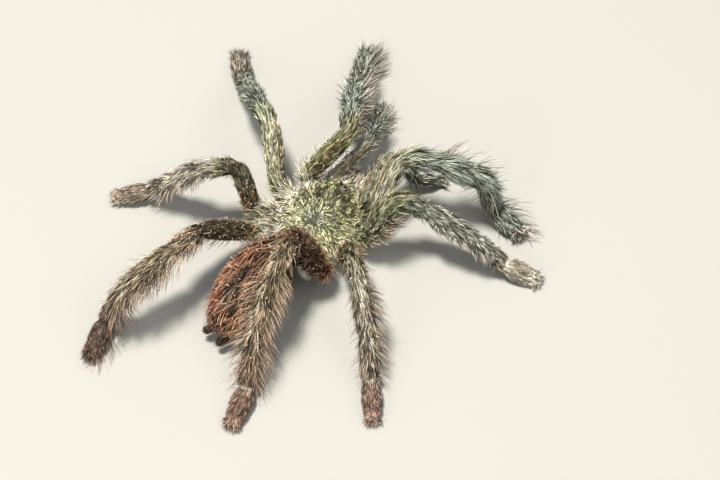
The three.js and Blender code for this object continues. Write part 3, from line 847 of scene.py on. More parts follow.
@dataclass
class Shield(Region):
    """The carapace: a domed shield with a pit in its middle, from which the coat fans out."""

    centre_y: float = -1.6
    half_length: float = 8.4
    half_width: float = 7.3
    front_narrowing: float = 0.16
    shoulder: float = 0.86
    underside_z: float = 4.4
    rim_z: float = 5.5
    dome: float = 2.3
    roundness: float = 2.6
    steepness: float = 0.7
    rim_fade: float = 4.0
    head_rise: tuple[float, float, float, float] = (0.9, -6.2, 3.4, 3.6)
    pit: tuple[float, float, float, float] = (0.7, 0.9, 1.7, 0.9)
    coat_depth: float = 0.5
    settled: float = 0.85  # the share of that depth which counts on the flat back
    groove_depth: float = 0.16
    grooves: int = 10
    mound: Triple = (1.25, 0.95, 0.62)
    mound_y: float = -7.6
    # Place, reach and strength of each dark spot.
    spots: tuple[tuple[float, float, float, float], ...] = (
        (-1.2, -6.0, 1.5, 1.0),
        (0.2, -7.6, 1.3, 0.7),
        (2.4, -5.2, 1.3, 1.0),
        (4.2, -1.4, 1.4, 0.6),
        (-2.6, -3.4, 1.5, 0.55),
        (1.6, -3.6, 1.5, 0.4),
        (-4.4, -5.0, 1.3, 0.4),
    )
    hairs = SHIELD_HAIRS

    def height(self, x: Array, y: Array, share: Array) -> Array:
        """Returns the height over the coat at places and at their share of the way to the rim."""
        share = np.clip(share, 0, 1)
        dome = self.dome * (1 - share**self.roundness) ** self.steepness
        head, pit = self.head_rise, self.pit
        rise_here = head[0] * hump(x, 0, head[2]) * hump(y, head[1], head[3])
        pit_here = pit[0] * hump(x, 0, pit[2]) * hump(y, pit[1], pit[3])
        return self.rim_z + dome + (rise_here - pit_here) * (1 - share**self.rim_fade)

    def _grooves(self, x: Array, y: Array) -> Array:
        """Returns how deep the furrows that run out from the pit are, 0 to 1."""
        angle = np.arctan2(x, self.pit[1] - y)
        far = np.hypot(x, y - self.pit[1])
        furrows = np.maximum(0, np.cos(angle * self.grooves)) ** 4
        neck = hump(np.abs(x) - 0.5 * (self.pit[1] - y), 0.35, 0.5) * (y < self.pit[1]) * (y > -6.5)
        spokes = furrows * rise(far, 1.6, 2.8) * (1 - rise(far, 5.2, 6.6)) * 0.7
        return spokes + neck * rise(far, 1.2, 2.4)

    def shells(self) -> list[Shell]:
        """Returns the shield and the mound that carries the eyes."""
        sides, inset = 64, self.coat_depth
        turn = np.arange(sides) * FULL_TURN / sides
        wide = (self.half_width - inset) * (1 - self.front_narrowing * np.maximum(np.cos(turn), 0))
        flat_x = wide * np.sign(np.sin(turn)) * np.abs(np.sin(turn)) ** self.shoulder
        flat_y = -(self.half_length - inset) * np.cos(turn)
        rings = []
        for share in (0.3, 0.95):
            x, y = share * flat_x, self.centre_y + share * flat_y
            rings.append(np.stack([x, y, np.full(sides, self.underside_z)], 1))
        for share in np.cos(np.linspace(0.06, math.pi / 2 - 0.03, 26)):
            x, y = share * flat_x, self.centre_y + share * flat_y
            z = self.height(x, y, np.full(sides, share)) - inset * self.settled
            rings.append(np.stack([x, y, z - self.groove_depth * self._grooves(x, y)], 1))
        shield = lathe(np.array(rings))
        return [shield, blob((0, self.mound_y, self.mound_top() - 0.1), self.mound)]

    def mound_top(self) -> float:
        """Returns the height of the shield under the mound."""
        share = np.array([(self.centre_y - self.mound_y) / self.half_length])
        top = self.height(np.zeros(1), np.array([self.mound_y]), share)[0]
        return float(top) - self.coat_depth * self.settled

    def read(self, points: Array) -> Reading:
        """Returns what the plan says of places on the shield."""
        x, y = points[:, 0], points[:, 1]
        out = np.stack([x, y - self.pit[1], np.zeros(len(x))], 1)
        far = np.linalg.norm(out, axis=1)
        swirl = SHIELD_SWIRL.at(points) * 0.5
        way = unit(out + np.stack([-out[:, 1], out[:, 0], np.zeros(len(x))], 1) * swirl[:, None])
        share = np.hypot(x / self.half_width, (y - self.centre_y) / self.half_length)
        angle = np.arctan2(x, self.centre_y - y)
        spread = 0.47 * np.clip(share, 0, 1.02)
        chart = 0.5 + np.stack([spread * np.sin(angle), spread * np.cos(angle)], 1)
        found = Reading(points, way, chart, share, np.degrees(angle))
        self._colour(found, far)
        return found

    def _colour(self, reading: Reading, far: Array) -> None:
        """Sets the shield's markings on a reading."""
        x, y = reading.points[:, 0], reading.points[:, 1]
        cloud = SHIELD_CLOUD.at(reading.points)
        fleck = SHIELD_FLECK.at(reading.points)
        rim = rise(reading.along, 0.62, 0.98)
        core = hump(far, 0, 1.9)
        left = rise(x, 2.0, 6.5)
        reading.mark(Marking.WARM, 0.06 + 0.3 * rim + 0.5 * left)
        reading.mark(Marking.OLIVE, 0.85 - 0.75 * core - 0.45 * left)
        reading.mark(Marking.PALE, 0.16 + 0.4 * rim * (0.8 + 0.4 * cloud) + 0.25 * left)
        gold = 0.28 * rise(reading.along, 0.3, 0.8) * (0.6 + 0.4 * cloud) * (1 - left)
        reading.mark(Marking.GOLD, gold)
        spots = sum(
            strength * hump(np.hypot(x - spot_x, y - spot_y), 0, reach)
            for spot_x, spot_y, reach, strength in self.spots
        )
        furrows = self._grooves(x, y)
        # Darker round the pit, with painted shade along the furrows that run from it.
        shade = spots * (1.1 + 0.6 * cloud) + 0.2 * core + 0.25 * furrows
        reading.mark(Marking.SHADE, shade + 0.1 + 0.14 * cloud + 0.3 * fleck)

    def growth(self, kind: Kind, reading: Reading) -> Growth:
        """Returns how a kind of hair grows at the places."""
        x, y = reading.points[:, 0], reading.points[:, 1]
        eyes = hump(x, 0, 1.4) * hump(y, self.mound_y - 0.1, 1.15)
        rim = rise(reading.along, 0.72, 1.0)
        below = reading.points[:, 2] < 4.8
        thick = (1 - np.clip(1.9 * eyes, 0, 1)) * ~below
        thick = thick * (1 - 0.6 * rise(reading.of(Marking.SHADE), 0.5, 1.0))
        long = 0.85 + 0.55 * rim - 0.3 * eyes
        if kind is Kind.BRISTLE:
            return Growth(thick * (0.25 + 0.75 * rim), long)
        return Growth(thick, long)


EGG_HAIRS = {
    Kind.DOWN: Hair(12, (0.8, 1.3), 0.09, (8, 18), 12, 9, tone=(0.0, 0.08)),
    Kind.LOCK: Hair(
        4.4, (2.2, 3.6), 0.12, (6, 14), 16, 7, rings=2, strands=2, spread=0.09, gather=0.4,
        tipped=0.05, wave=22, tone=(0.0, 0.3),
    ),
    Kind.BRISTLE: Hair(
        4.0, (3.4, 6.0), 0.115, (9, 19), 30, 7, rings=5, tipped=0.4, wave=34, tone=(0.05, 1.0)
    ),
    Kind.SPECK: Hair(0.3, (1.5, 1.9), 0.26, (62, 86), 0, 10, tipped=1.0, tone=(0.9, 1.0)),
}


@dataclass
class Egg(Region):
    """The abdomen, an egg on a leaning axis, fullest behind its middle."""

    front: Triple = (0.2, 6.8, 7.1)
    rear: Triple = (-1.2, 28.0, 5.7)
    half_width: float = 6.15
    half_height: float = 5.3
    fullest: float = 0.49
    fullness: float = 0.9
    coat_depth: float = 1.15
    sides: int = 44
    rings: int = 40
    hairs = EGG_HAIRS

    def __post_init__(self) -> None:
        """Works out the axis."""
        self.start, self.end = np.array(self.front), np.array(self.rear)
        self.way = unit(self.end - self.start)
        self.side = unit(np.array([1.0, 0, 0]) - self.way * self.way[0])
        self.up = np.cross(self.side, self.way) * -1
        if self.up[2] < 0:
            self.up = -self.up
        self.length = float(np.linalg.norm(self.end - self.start))

    def shells(self) -> list[Shell]:
        """Returns the egg inside its coat."""
        turn = np.linspace(0.03, 0.97, self.rings) * math.pi
        share = ((1 - np.cos(turn)) / 2) ** (math.log(self.fullest) / math.log(0.5))
        rounded = np.sin(turn) ** self.fullness
        inset = self.coat_depth
        reach = self.length - 1.6 * inset
        centre = self.start + self.way * (0.8 * inset + share * reach)[:, None]
        up, side = np.tile(self.up, (self.rings, 1)), np.tile(self.side, (self.rings, 1))
        high, wide = (self.half_height - inset) * rounded, (self.half_width - inset) * rounded
        rings = ring_stack(centre, up, side, high, wide, self.sides)
        if np.dot(np.cross(self.up, self.side), self.way) < 0:
            rings = rings[:, ::-1]
        return [lathe(rings)]

    def read(self, points: Array) -> Reading:
        """Returns what the plan says of places on the abdomen."""
        offset = points - self.start
        share = np.clip(offset @ self.way / self.length, 0, 1)
        across, high = offset @ self.side, offset @ self.up
        around = np.degrees(np.arctan2(across, high))
        down = np.array([0, 0, -0.18])
        drift = EGG_DRIFT.at(points) * 0.2
        way = unit(self.way + down + self.side * drift[:, None])
        chart = wrapped_chart(around, 0.03 + 0.94 * share)
        found = Reading(points, way, chart, share, around)
        cloud = EGG_CLOUD.at(points)
        flank = rise(around, 24, 50) * (1 - rise(around, 120, 165))
        spot = hump(share, 0.63, 0.07) * hump(around, 8, 11)
        front, end = 1 - rise(share, 0.04, 0.26), rise(share, 0.82, 0.92)
        saddle = hump(around, 16, 15) * rise(share, 0.1, 0.25) * (1 - rise(share, 0.48, 0.62))
        found.mark(Marking.WARM, 1.0 - 0.9 * spot)
        rust = 0.45 + 0.4 * flank + 0.25 * cloud - 0.3 * front
        found.mark(Marking.RUST, rust * (1 - 0.9 * spot))
        found.mark(Marking.GOLD, 0.12 * rise(-around, 0, 30) * (1 - front))
        shade = 0.2 + 0.48 * flank + 0.55 * front * (1 - flank) + 0.6 * saddle + 0.35 * spot
        found.mark(Marking.SHADE, shade + 0.25 * cloud + 0.7 * end)
        return found

    def growth(self, kind: Kind, reading: Reading) -> Growth:
        """Returns how a kind of hair grows at the places."""
        end = rise(reading.along, 0.8, 0.95)
        start = 1 - rise(reading.along, 0.0, 0.18)
        thick = np.ones(len(end))
        long = 1 - 0.45 * end - 0.4 * start
        if kind is Kind.SPECK:
            return Growth(1 - rise(np.abs(reading.around), 60, 100), thick)
        if kind is Kind.BRISTLE:
            belly = rise(np.abs(reading.around), 120, 160)
            return Growth(thick * (1 - 0.6 * belly), long * (1 - 0.3 * belly), 1 + 0.8 * end)
        return Growth(thick, long, 1 + 0.8 * end)


JAW_HAIRS = {
    Kind.DOWN: Hair(28, (0.35, 0.6), 0.07, (16, 34), 10, 18, tone=(0.0, 0.4)),
    Kind.LOCK: Hair(
        9, (0.8, 1.4), 0.11, (14, 32), 20, 16, rings=2, strands=2, spread=0.08, gather=0.5,
        tipped=0.5, wave=20, tone=(0.2, 1.0),
    ),
    Kind.BRISTLE: Hair(
        2.0, (1.3, 2.4), 0.12, (22, 48), 24, 18, rings=3, tipped=0.9, wave=16, tone=(0.5, 1.0)
    ),
}


@dataclass
class Jaw(Region):
    """The upper joint of one chelicera, a deep blunt block."""

    mirror: int = 1
    offset: float = 1.5
    start: Span = (-8.0, 4.4)
    end: Span = (-14.4, 3.4)
    half_width: float = 1.34
    half_heights: Triple = (1.6, 1.95, 1.2)
    coat_depth: float = 0.3
    hairs = JAW_HAIRS

    def __post_init__(self) -> None:
        """Works out the axis."""
        self.a = np.array([self.mirror * self.offset, *self.start])
        self.b = np.array([self.mirror * self.offset, *self.end])
        self.way = unit(self.b - self.a)
        self.length = float(np.linalg.norm(self.b - self.a))
        self.up = unit(np.array([0, 0, 1.0]) - self.way * self.way[2])

    def shells(self) -> list[Shell]:
        """Returns the block, blunt at its tip."""
        share = 1 - (1 - np.linspace(0, 1, 22)) ** 1.7
        blunt = np.sqrt(1 - 0.93 * np.maximum(0, 2 * share - 1) ** 3)
        centre = self.a + self.way * (share * (self.length - self.coat_depth))[:, None]
        high = (three_point(self.half_heights, share) - self.coat_depth) * blunt
        wide = (self.half_width - 0.6 * self.coat_depth) * blunt
        side = np.tile(np.cross(self.way, self.up), (22, 1))
        rings = ring_stack(centre, np.tile(self.up, (22, 1)), side, high, wide, 24)
        return [lathe(rings[:, ::-1])]

    def read(self, points: Array) -> Reading:
        """Returns what the plan says of places on the chelicera."""
        offset = points - self.a
        share = np.clip(offset @ self.way / self.length, 0, 1)
        around = np.degrees(np.arctan2(offset[:, 0] * self.mirror, offset @ self.up))
        chart = half_chart(self.mirror, around, share)
        found = Reading(points, np.tile(self.way, (len(points), 1)), chart, share, around)
        cloud = JAW_CLOUD.at(points)
        found.mark(Marking.WARM, 0.25)
        found.mark(Marking.OLIVE, 0.25)
        found.mark(Marking.PALE, 0.55 + 0.2 * cloud)
        found.mark(Marking.PLUM, 0.1 + 0.2 * rise(share, 0.7, 1.0))
        # Painted shade on the chelicera's lower side.
        found.mark(Marking.SHADE, 0.05 - 0.1 * cloud + 0.3 * rise(np.abs(around), 90, 150))
        return found

    def growth(self, kind: Kind, reading: Reading) -> Growth:
        """Returns how a kind of hair grows at the places."""
        inner = rise(-reading.around, 60, 110)
        return Growth(1 - 0.8 * inner, 1 - 0.5 * inner + 0.2 * rise(reading.along, 0.6, 1.0))


PLATE_HAIRS = {
    Kind.DOWN: Hair(18, (0.4, 0.7), 0.08, (16, 34), 10, 24),
    Kind.LOCK: Hair(
        3, (0.8, 1.3), 0.09, (18, 36), 20, 20, rings=2, strands=3, spread=0.14, gather=0.5,
        tipped=0.3, wave=12,
    ),
    Kind.BRISTLE: Hair(0.8, (1.2, 1.9), 0.1, (25, 45), 20, 20, rings=3, tipped=0.8),
}


@dataclass
class Plate(Region):
    """The ground plate under the front body, with the waist behind it."""

    y: float = -1.4
    z: float = 3.3
    half_width: float = 3.4
    half_length: float = 5.4
    half_height: float = 1.2
    coat_depth: float = 0.25
    waist_radius: float = 1.0
    waist: Triple = (4.4, 10.6, 4.3)
    hairs = PLATE_HAIRS

    def shells(self) -> list[Shell]:
        """Returns the plate, the lip in front of it, and the waist."""
        d = self.coat_depth
        radii = (self.half_width, self.half_length - d, self.half_height - d)
        plate = blob((0, self.y, self.z), radii, 32, 16)
        lip = blob((0, self.y - self.half_length * 0.92, self.z + 0.25), (1.3, 1.0, 0.9))
        ys = np.linspace(self.waist[0], self.waist[1], 16)
        centre = np.stack([np.zeros(16), ys, np.full(16, self.waist[2])], 1)
        up, side = np.tile([0, 0, 1.0], (16, 1)), np.tile([1.0, 0, 0], (16, 1))
        radius = np.full(16, self.waist_radius)
        rings = ring_stack(centre, up, side, radius * 0.85, radius, 20)
        return [plate, lip, lathe(rings)]

    def read(self, points: Array) -> Reading:
        """Returns what the plan says of places on the plate."""
        x, y = points[:, 0], points[:, 1]
        chart = np.stack([0.5 + 0.11 * x, 0.35 + 0.055 * (y - self.y)], 1)
        way = np.tile(unit(np.array([0.0, 1.0, -0.15])), (len(points), 1))
        found = Reading(points, way, np.clip(chart, 0.02, 0.98), y, x)
        found.mark(Marking.WARM, 0.85)
        found.mark(Marking.SHADE, 0.45)
        found.mark(Marking.PLUM, 0.2)
        return found


SPINNER_HAIRS = {
    Kind.DOWN: Hair(30, (0.3, 0.5), 0.06, (12, 28), 10, 16, tone=(0.0, 0.5)),
    Kind.LOCK: Hair(
        7, (0.5, 0.8), 0.07, (14, 30), 20, 14, rings=2, strands=3, spread=0.1, gather=0.4,
        tipped=0.1, tone=(0.0, 0.7),
    ),
    Kind.BRISTLE: Hair(1.2, (0.9, 1.5), 0.08, (28, 50), 24, 18, rings=3, tipped=0.5),
}


@dataclass
class Spinner(Region):
    """One of the two long spinnerets, in three joints, with a short one beside it."""

    mirror: int = 1
    root: Triple = (-1.3, 25.8, 3.15)
    spread: float = 1.15
    direction: Triple = (0.3, 1.0, -0.12)
    splay: float = 0.24
    length: float = 3.2
    radii: Span = (0.95, 0.6)
    short: Span = (1.3, 0.55)  # the short one's length, and its girth beside the long one's
    short_aside: float = 0.75
    hairs = SPINNER_HAIRS

    def __post_init__(self) -> None:
        """Works out the axis."""
        self.a = np.array(self.root) + [self.mirror * self.spread, 0, 0]
        way = np.array(self.direction) + [self.mirror * self.splay, 0, 0]
        self.way = unit(way)
        self.up = unit(np.array([0, 0, 1.0]) - self.way * self.way[2])
        self.side = np.cross(self.way, self.up)

    def shells(self) -> list[Shell]:
        """Returns the jointed spinneret and its short neighbour."""
        found = []
        beside = self.a + [-self.mirror * self.short_aside, -0.1, -0.5]
        for start, length, thick in ((self.a, self.length, 1.0), (beside, *self.short)):
            share = np.linspace(0, 1, 24)
            radius = self.radii[0] + (self.radii[1] - self.radii[0]) * share
            swell = 1 + 0.1 * np.sin(share * 3 * math.pi) ** 2
            swell = swell - 0.1 * hump(share, 0.36, 0.03) - 0.1 * hump(share, 0.7, 0.03)
            closing = np.sqrt(np.clip(1 - np.maximum(0, (share - 0.86) / 0.15) ** 2, 0.02, 1))
            radius = radius * swell * closing * thick
            centre = start + self.way * (share * length)[:, None]
            up, side = np.tile(self.up, (24, 1)), np.tile(self.side, (24, 1))
            found.append(lathe(ring_stack(centre, up, side, radius, radius, 18)[:, ::-1]))
        return found

    def read(self, points: Array) -> Reading:
        """Returns what the plan says of places on the spinneret."""
        offset = points - self.a
        share = np.clip(offset @ self.way / self.length, 0, 1)
        around = np.degrees(np.arctan2(offset @ self.side, offset @ self.up))
        chart = half_chart(self.mirror, around, share)
        found = Reading(points, np.tile(self.way, (len(points), 1)), chart, share, around)
        found.mark(Marking.WARM, 0.9)
        found.mark(Marking.SHADE, 0.9 - 0.12 * share)
        found.mark(Marking.PLUM, 0.3)
        return found


@dataclass
class Animal:
    """The plan of the whole animal: its regions in order."""

    sizes: LimbSizes = field(default_factory=LimbSizes)

    def __post_init__(self) -> None:
        """Plans each region."""
        self.limbs = [Limb(plan, self.sizes) for plan in LIMB_PLANS]
        self.shield = Shield()
        self.egg = Egg()
        self.jaws = [Jaw(mirror=1), Jaw(mirror=-1)]
        self.plate = Plate()
        self.spinners = [Spinner(mirror=1), Spinner(mirror=-1)]
        body = [self.shield, self.egg, *self.jaws, self.plate, *self.spinners]
        self.regions: list[Region] = [*self.limbs, *body]


# ---------------------------------------------------------------- meshes


def empty_handed() -> None:
    """Leaves edit mode and deselects everything."""
    if bpy.context.object is not None and bpy.context.object.mode != "OBJECT":
        bpy.ops.object.mode_set(mode="OBJECT")
    bpy.ops.object.select_all(action="DESELECT")


def take(piece: bpy.types.Object) -> None:
    """Makes one piece the only selected, active object."""
    empty_handed()
    piece.select_set(True)
    bpy.context.view_layer.objects.active = piece


def apply_modifier(piece: bpy.types.Object, kind: str, **settings: Any) -> None:
    """Adds a modifier to a piece with the settings, and applies it."""
    take(piece)
    bpy.ops.object.modifier_add(type=kind)
    modifier = piece.modifiers[-1]
    for name, value in settings.items():
        setattr(modifier, name, value)
    bpy.ops.object.modifier_apply(modifier=modifier.name)


def places_of(mesh: bpy.types.Mesh) -> Array:
    """Returns the places of a mesh's points."""
    found = np.empty(len(mesh.vertices) * 3)
    mesh.vertices.foreach_get("co", found)
    return found.reshape(-1, 3)


def move_points(mesh: bpy.types.Mesh, points: Array) -> None:
    """Puts a mesh's points at new places."""
    mesh.vertices.foreach_set("co", np.ascontiguousarray(points, np.float32).ravel())
    mesh.update()


def set_marks(mesh: bpy.types.Mesh, values: Marks) -> None:
    """Stores numbers on a mesh's points, for its finish to read."""
    for name, value in values.items():
        layer = mesh.attributes.new(name, "FLOAT", "POINT")
        layer.data.foreach_set("value", np.ascontiguousarray(value, np.float32))


def smooth(mesh: bpy.types.Mesh) -> None:
    """Shades every face of a mesh smooth."""
    mesh.polygons.foreach_set("use_smooth", np.ones(len(mesh.polygons), bool))
    mesh.update()


class Skin:
    """One skin over the whole animal, with the markings that the coat carries too."""

    voxel: float = 0.25
    relax: int = 4

    def __init__(self, animal: Animal, home: Home) -> None:
        """Keeps the plan and the way to the solids' frame."""
        self.animal = animal
        self.home = home

    def build(self) -> bpy.types.Object:
        """Joins the flesh of all regions into one closed, seamless mesh.

        Returns:
            The skin.
        """
        points, faces, owners, offset = [], [], [], 0
        for number, region in enumerate(self.animal.regions):
            for shell_points, shell_faces in region.shells():
                points.append(shell_points)
                owners.append(np.full(len(shell_points), number))
                faces += [tuple(i + offset for i in face) for face in shell_faces]
                offset += len(shell_points)
        sources, owner = np.vstack(points), np.concatenate(owners)
        mesh = bpy.data.meshes.new("skin")
        mesh.from_pydata(sources.tolist(), [], faces)
        piece = bpy.data.objects.new("skin", mesh)
        bpy.context.scene.collection.objects.link(piece)
        voxel = self.voxel * 1
        apply_modifier(piece, "REMESH", mode="VOXEL", voxel_size=voxel)
        apply_modifier(piece, "SMOOTH", factor=0.5, iterations=self.relax)
        smooth(piece.data)
        self._survey(piece.data, sources, owner)
        move_points(piece.data, self.home.metres(self.points))
        self.piece = piece
        return piece

    def _survey(self, mesh: bpy.types.Mesh, sources: Array, owner: Array) -> None:
        """Measures the skin, and finds the region and markings of each of its points.

        Args:
            mesh: The finished skin, still in millimetres.
            sources: Points of the regions' shells.
            owner: The region of each of those points.
        """
        self.points = places_of(mesh)
        normals = np.empty(len(mesh.vertices) * 3)
        mesh.vertices.foreach_get("normal", normals)
        self.normals = normals.reshape(-1, 3)
        tree = KDTree(len(sources))
        for i, place in enumerate(sources):
            tree.insert(place, i)
        tree.balance()
        self.region = owner[[tree.find(place)[1] for place in self.points]]
        mesh.calc_loop_triangles()
        corners = np.empty(len(mesh.loop_triangles) * 3, np.int32)
        mesh.loop_triangles.foreach_get("vertices", corners)
        self.corners = corners.reshape(-1, 3)
        a, b, c = (self.points[self.corners[:, i]] for i in range(3))
        self.areas = np.linalg.norm(np.cross(b - a, c - a), axis=1) / 2
        marks = {marking.value: np.zeros(len(self.points)) for marking in Marking}
        for number, region in enumerate(self.animal.regions):
            here = self.region == number
            reading = region.read(self.points[here])
            for marking in Marking:
                marks[marking.value][here] = reading.of(marking)
        marks["along"] = np.zeros(len(self.points))
        marks["chance"] = np.full(len(self.points), 0.5)
        marks["tipped"] = np.zeros(len(self.points))
        set_marks(mesh, marks)

    def scatter(self, number: int, per_mm2: float, rng: np.random.Generator) -> tuple[Array, Array]:
        """Picks random places on one region's skin.

        Args:
            number: The region's number.
            per_mm2: Places to a square millimetre.
            rng: The source of chance.

        Returns:
            The places and the skin's direction outwards there.
        """
        own = np.flatnonzero(self.region[self.corners[:, 0]] == number)
        areas = self.areas[own]
        count = rng.poisson(areas.sum() * per_mm2)
        picked = self.corners[own[rng.choice(len(own), count, p=areas / areas.sum())]]
        u, v = rng.random(count), rng.random(count)
        over = u + v > 1
        u[over], v[over] = 1 - u[over], 1 - v[over]
        weights = np.stack([1 - u - v, u, v], 1)[..., None]
        return (self.points[picked] * weights).sum(1), unit((self.normals[picked] * weights).sum(1))

    def dress(self, finish: "SkinFinish") -> None:
        """Gives the skin its finish, and lets it stand for the solids of flesh."""
        self.piece.data.materials.append(finish.material())
        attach(self.piece, BODY)
        flesh = [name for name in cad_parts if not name.endswith(("_fang", "eye_mound"))]
        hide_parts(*flesh)


@dataclass
class Strands:
    """Hairs as arrays, before they become a mesh.

    Attributes:
        points: Points of all hairs.
        triangles: Their faces.
        chart: Each point's place on the chart.
        marks: Numbers on the points.
    """

    points: list[Array] = field(default_factory=list)
    triangles: list[Array] = field(default_factory=list)
    chart: list[Array] = field(default_factory=list)
    marks: dict[str, list[Array]] = field(default_factory=dict)
    count: int = 0

    def add(self, points: Array, triangles: Array, chart: Array, marks: Marks) -> None:
        """Adds a batch of hairs."""
        self.points.append(points)
        self.triangles.append(triangles + self.count)
        self.chart.append(chart)
        for name, value in marks.items():
            self.marks.setdefault(name, []).append(value)
        self.count += len(points)


class Coat:
    """A piece of the coat: solid hairs in tufts that follow the lay of the skin's regions."""

    thinning: float = 0.3
    clump: float = 0.18  # how far neighbours share one tone
    root_depth: float = 0.03  # how deep a tuft's middle stands in the skin
    stray_ripple: float = 7.0  # how far whole patches stray and lift, in degrees
    lift_ripple: float = 3.0
    stray_jitter: float = 0.1  # how far the hairs of a tuft stray and lift apart, in radians
    lift_jitter: float = 0.08
    even_tone: float = 0.42  # the tone that hairs of one tone share

    def __init__(self, name: str, slot: str, skin: Skin, home: Home, seed: int) -> None:
        """Starts an empty piece.

        Args:
            name: The piece's name.
            slot: The record's slot that it takes its finish from.
            skin: The skin on which it grows.
            home: The way to the solids' frame.
            seed: The seed of its chance.
        """
        self.name = name
        self.slot = slot
        self.skin = skin
        self.home = home
        self.rng = np.random.default_rng(seed)
        self.strands = Strands()

    def grow(
        self, number: int, stretch: Span = (-math.inf, math.inf), fit: Fit | None = None
    ) -> None:
        """Grows every kind of hair of one region.

        Args:
            number: The region's number.
            stretch: The part of the region that this piece covers, by its place along.
            fit: Moves the region's chart to its place on this piece's chart.
        """
        region = self.skin.animal.regions[number]
        for kind, hair in region.hairs.items():
            density = hair.per_mm2 * 1
            roots, normals = self.skin.scatter(number, density, self.rng)
            reading = region.read(roots)
            growth = region.growth(kind, reading)
            kept = self.rng.random(len(roots)) < growth.thick
            kept &= (reading.along >= stretch[0]) & (reading.along < stretch[1])
            self._plant(hair, roots[kept], normals[kept], reading, kept, growth, fit)

    def _plant(
        self, hair: Hair, roots: Array, normals: Array, reading: Reading, kept: Array,
        growth: Growth, fit: Fit | None,
    ) -> None:
        """Makes the meshes of one kind of hair.

        Args:
            hair: The kind.
            roots: Where its tufts stand.
            normals: The skin's direction there.
            reading: What the plan says of all the places that were tried.
            kept: Which of them grow a tuft.
            growth: How the kind grows at all those places.
            fit: Moves the region's chart to its place on this piece's chart.
        """
        rng, n, k = self.rng, len(roots), hair.strands
        if n == 0:
            return
        lay = reading.lay[kept]
        lay = unit(lay - normals * dot(lay, normals)[:, None])
        across = np.cross(normals, lay)
        loose, long, even = (
            np.broadcast_to(value, kept.shape)[kept]
            for value in (growth.loose, growth.long, growth.even)
        )
        calm = np.minimum(loose, loose**2)
        stray = rng.normal(0, hair.scatter, n) + self.stray_ripple * STRAY_RIPPLE.at(roots)
        stray = np.radians(stray) * calm
        lift = rng.uniform(*hair.lift, n) + self.lift_ripple * LIFT_RIPPLE.at(roots)
        lift = np.radians(lift) * loose
        wave = np.radians(rng.normal(0, max(hair.wave, 1e-3), n)) * calm
        length = rng.uniform(*hair.length, n) * long

        def each(values: Array, jitter: float = 0.0) -> Array:
            """Repeats a tuft's value for each of its hairs, with a little chance."""
            many = np.repeat(values, k, axis=0)
            return many + rng.normal(0, jitter, many.shape) if jitter else many

        disc = np.sqrt(rng.random(n * k)) * hair.spread
        turn = rng.uniform(0, FULL_TURN, n * k)
        lay_k, across_k, normal_k = each(lay), each(across), each(normals)
        shift = lay_k * (disc * np.cos(turn))[:, None] + across_k * (disc * np.sin(turn))[:, None]
        stray_k = each(stray, self.stray_jitter if k > 1 else 0)
        lift_k = each(lift, self.lift_jitter if k > 1 else 0)
        length_k = each(length) * rng.uniform(0.8, 1.1, n * k)
        wave_k = each(wave)
        outer = (disc > 0.6 * hair.spread)[:, None]
        place = each(roots) + shift - normal_k * (self.root_depth + 0.25 * hair.spread * outer)
        path = self._path(place, normal_k, lay_k, across_k, stray_k, lift_k, wave_k, length_k, hair)
        if k > 1:
            core = each(roots) - normal_k * self.root_depth
            middle = self._path(
                core, normal_k, lay_k, across_k, each(stray), each(lift), wave_k, length_k, hair
            )
            close = hair.gather * (np.arange(hair.rings + 1) / hair.rings)[None, :, None]
            path = path + (middle - path) * close
        marks = self._marks_of(reading, kept, hair, even, roots)
        chart = reading.chart[kept]
        chart = np.repeat(chart if fit is None else fit(chart), k, axis=0)
        self._skin_hairs(path, normal_k, hair, marks, chart)

    def _path(
        self, place: Array, normal: Array, lay: Array, across: Array, stray: Array, lift: Array,
        wave: Array, length: Array, hair: Hair,
    ) -> Array:
        """Returns the points of each hair from root to tip, as hairs x points x 3."""
        steps = hair.rings
        path = [place]
        for j in range(steps):
            share = (j + 0.5) / steps
            rise_here = lift - math.radians(hair.droop) * share
            aside = stray + wave * share
            flat = lay * np.cos(aside)[:, None] + across * np.sin(aside)[:, None]
            way = flat * np.cos(rise_here)[:, None] + normal * np.sin(rise_here)[:, None]
            path.append(path[-1] + way * (length / steps)[:, None])
        found = np.stack(path, 1)
        found[..., 2] = np.maximum(found[..., 2], HAIR_Z)
        return found

    def _marks_of(
        self, reading: Reading, kept: Array, hair: Hair, even: Array, roots: Array
    ) -> Marks:
        """Returns the numbers of each hair, before they are spread over its points."""
        n, k = int(kept.sum()), hair.strands
        chance = np.repeat(self.rng.random(n), k) * 0.85 + self.rng.random(n * k) * 0.15
        chance = rise(chance + np.repeat(self.clump * TONE_RIPPLE.at(roots), k), 0.12, 0.9)
        chance = hair.tone[0] + chance * (hair.tone[1] - hair.tone[0])
        chance = chance + (self.even_tone - chance) * np.repeat(even, k)
        marks = {marking.value: np.repeat(reading.of(marking)[kept], k) for marking in Marking}
        marks["chance"] = chance
        marks["tipped"] = np.full(n * k, hair.tipped)
        return marks

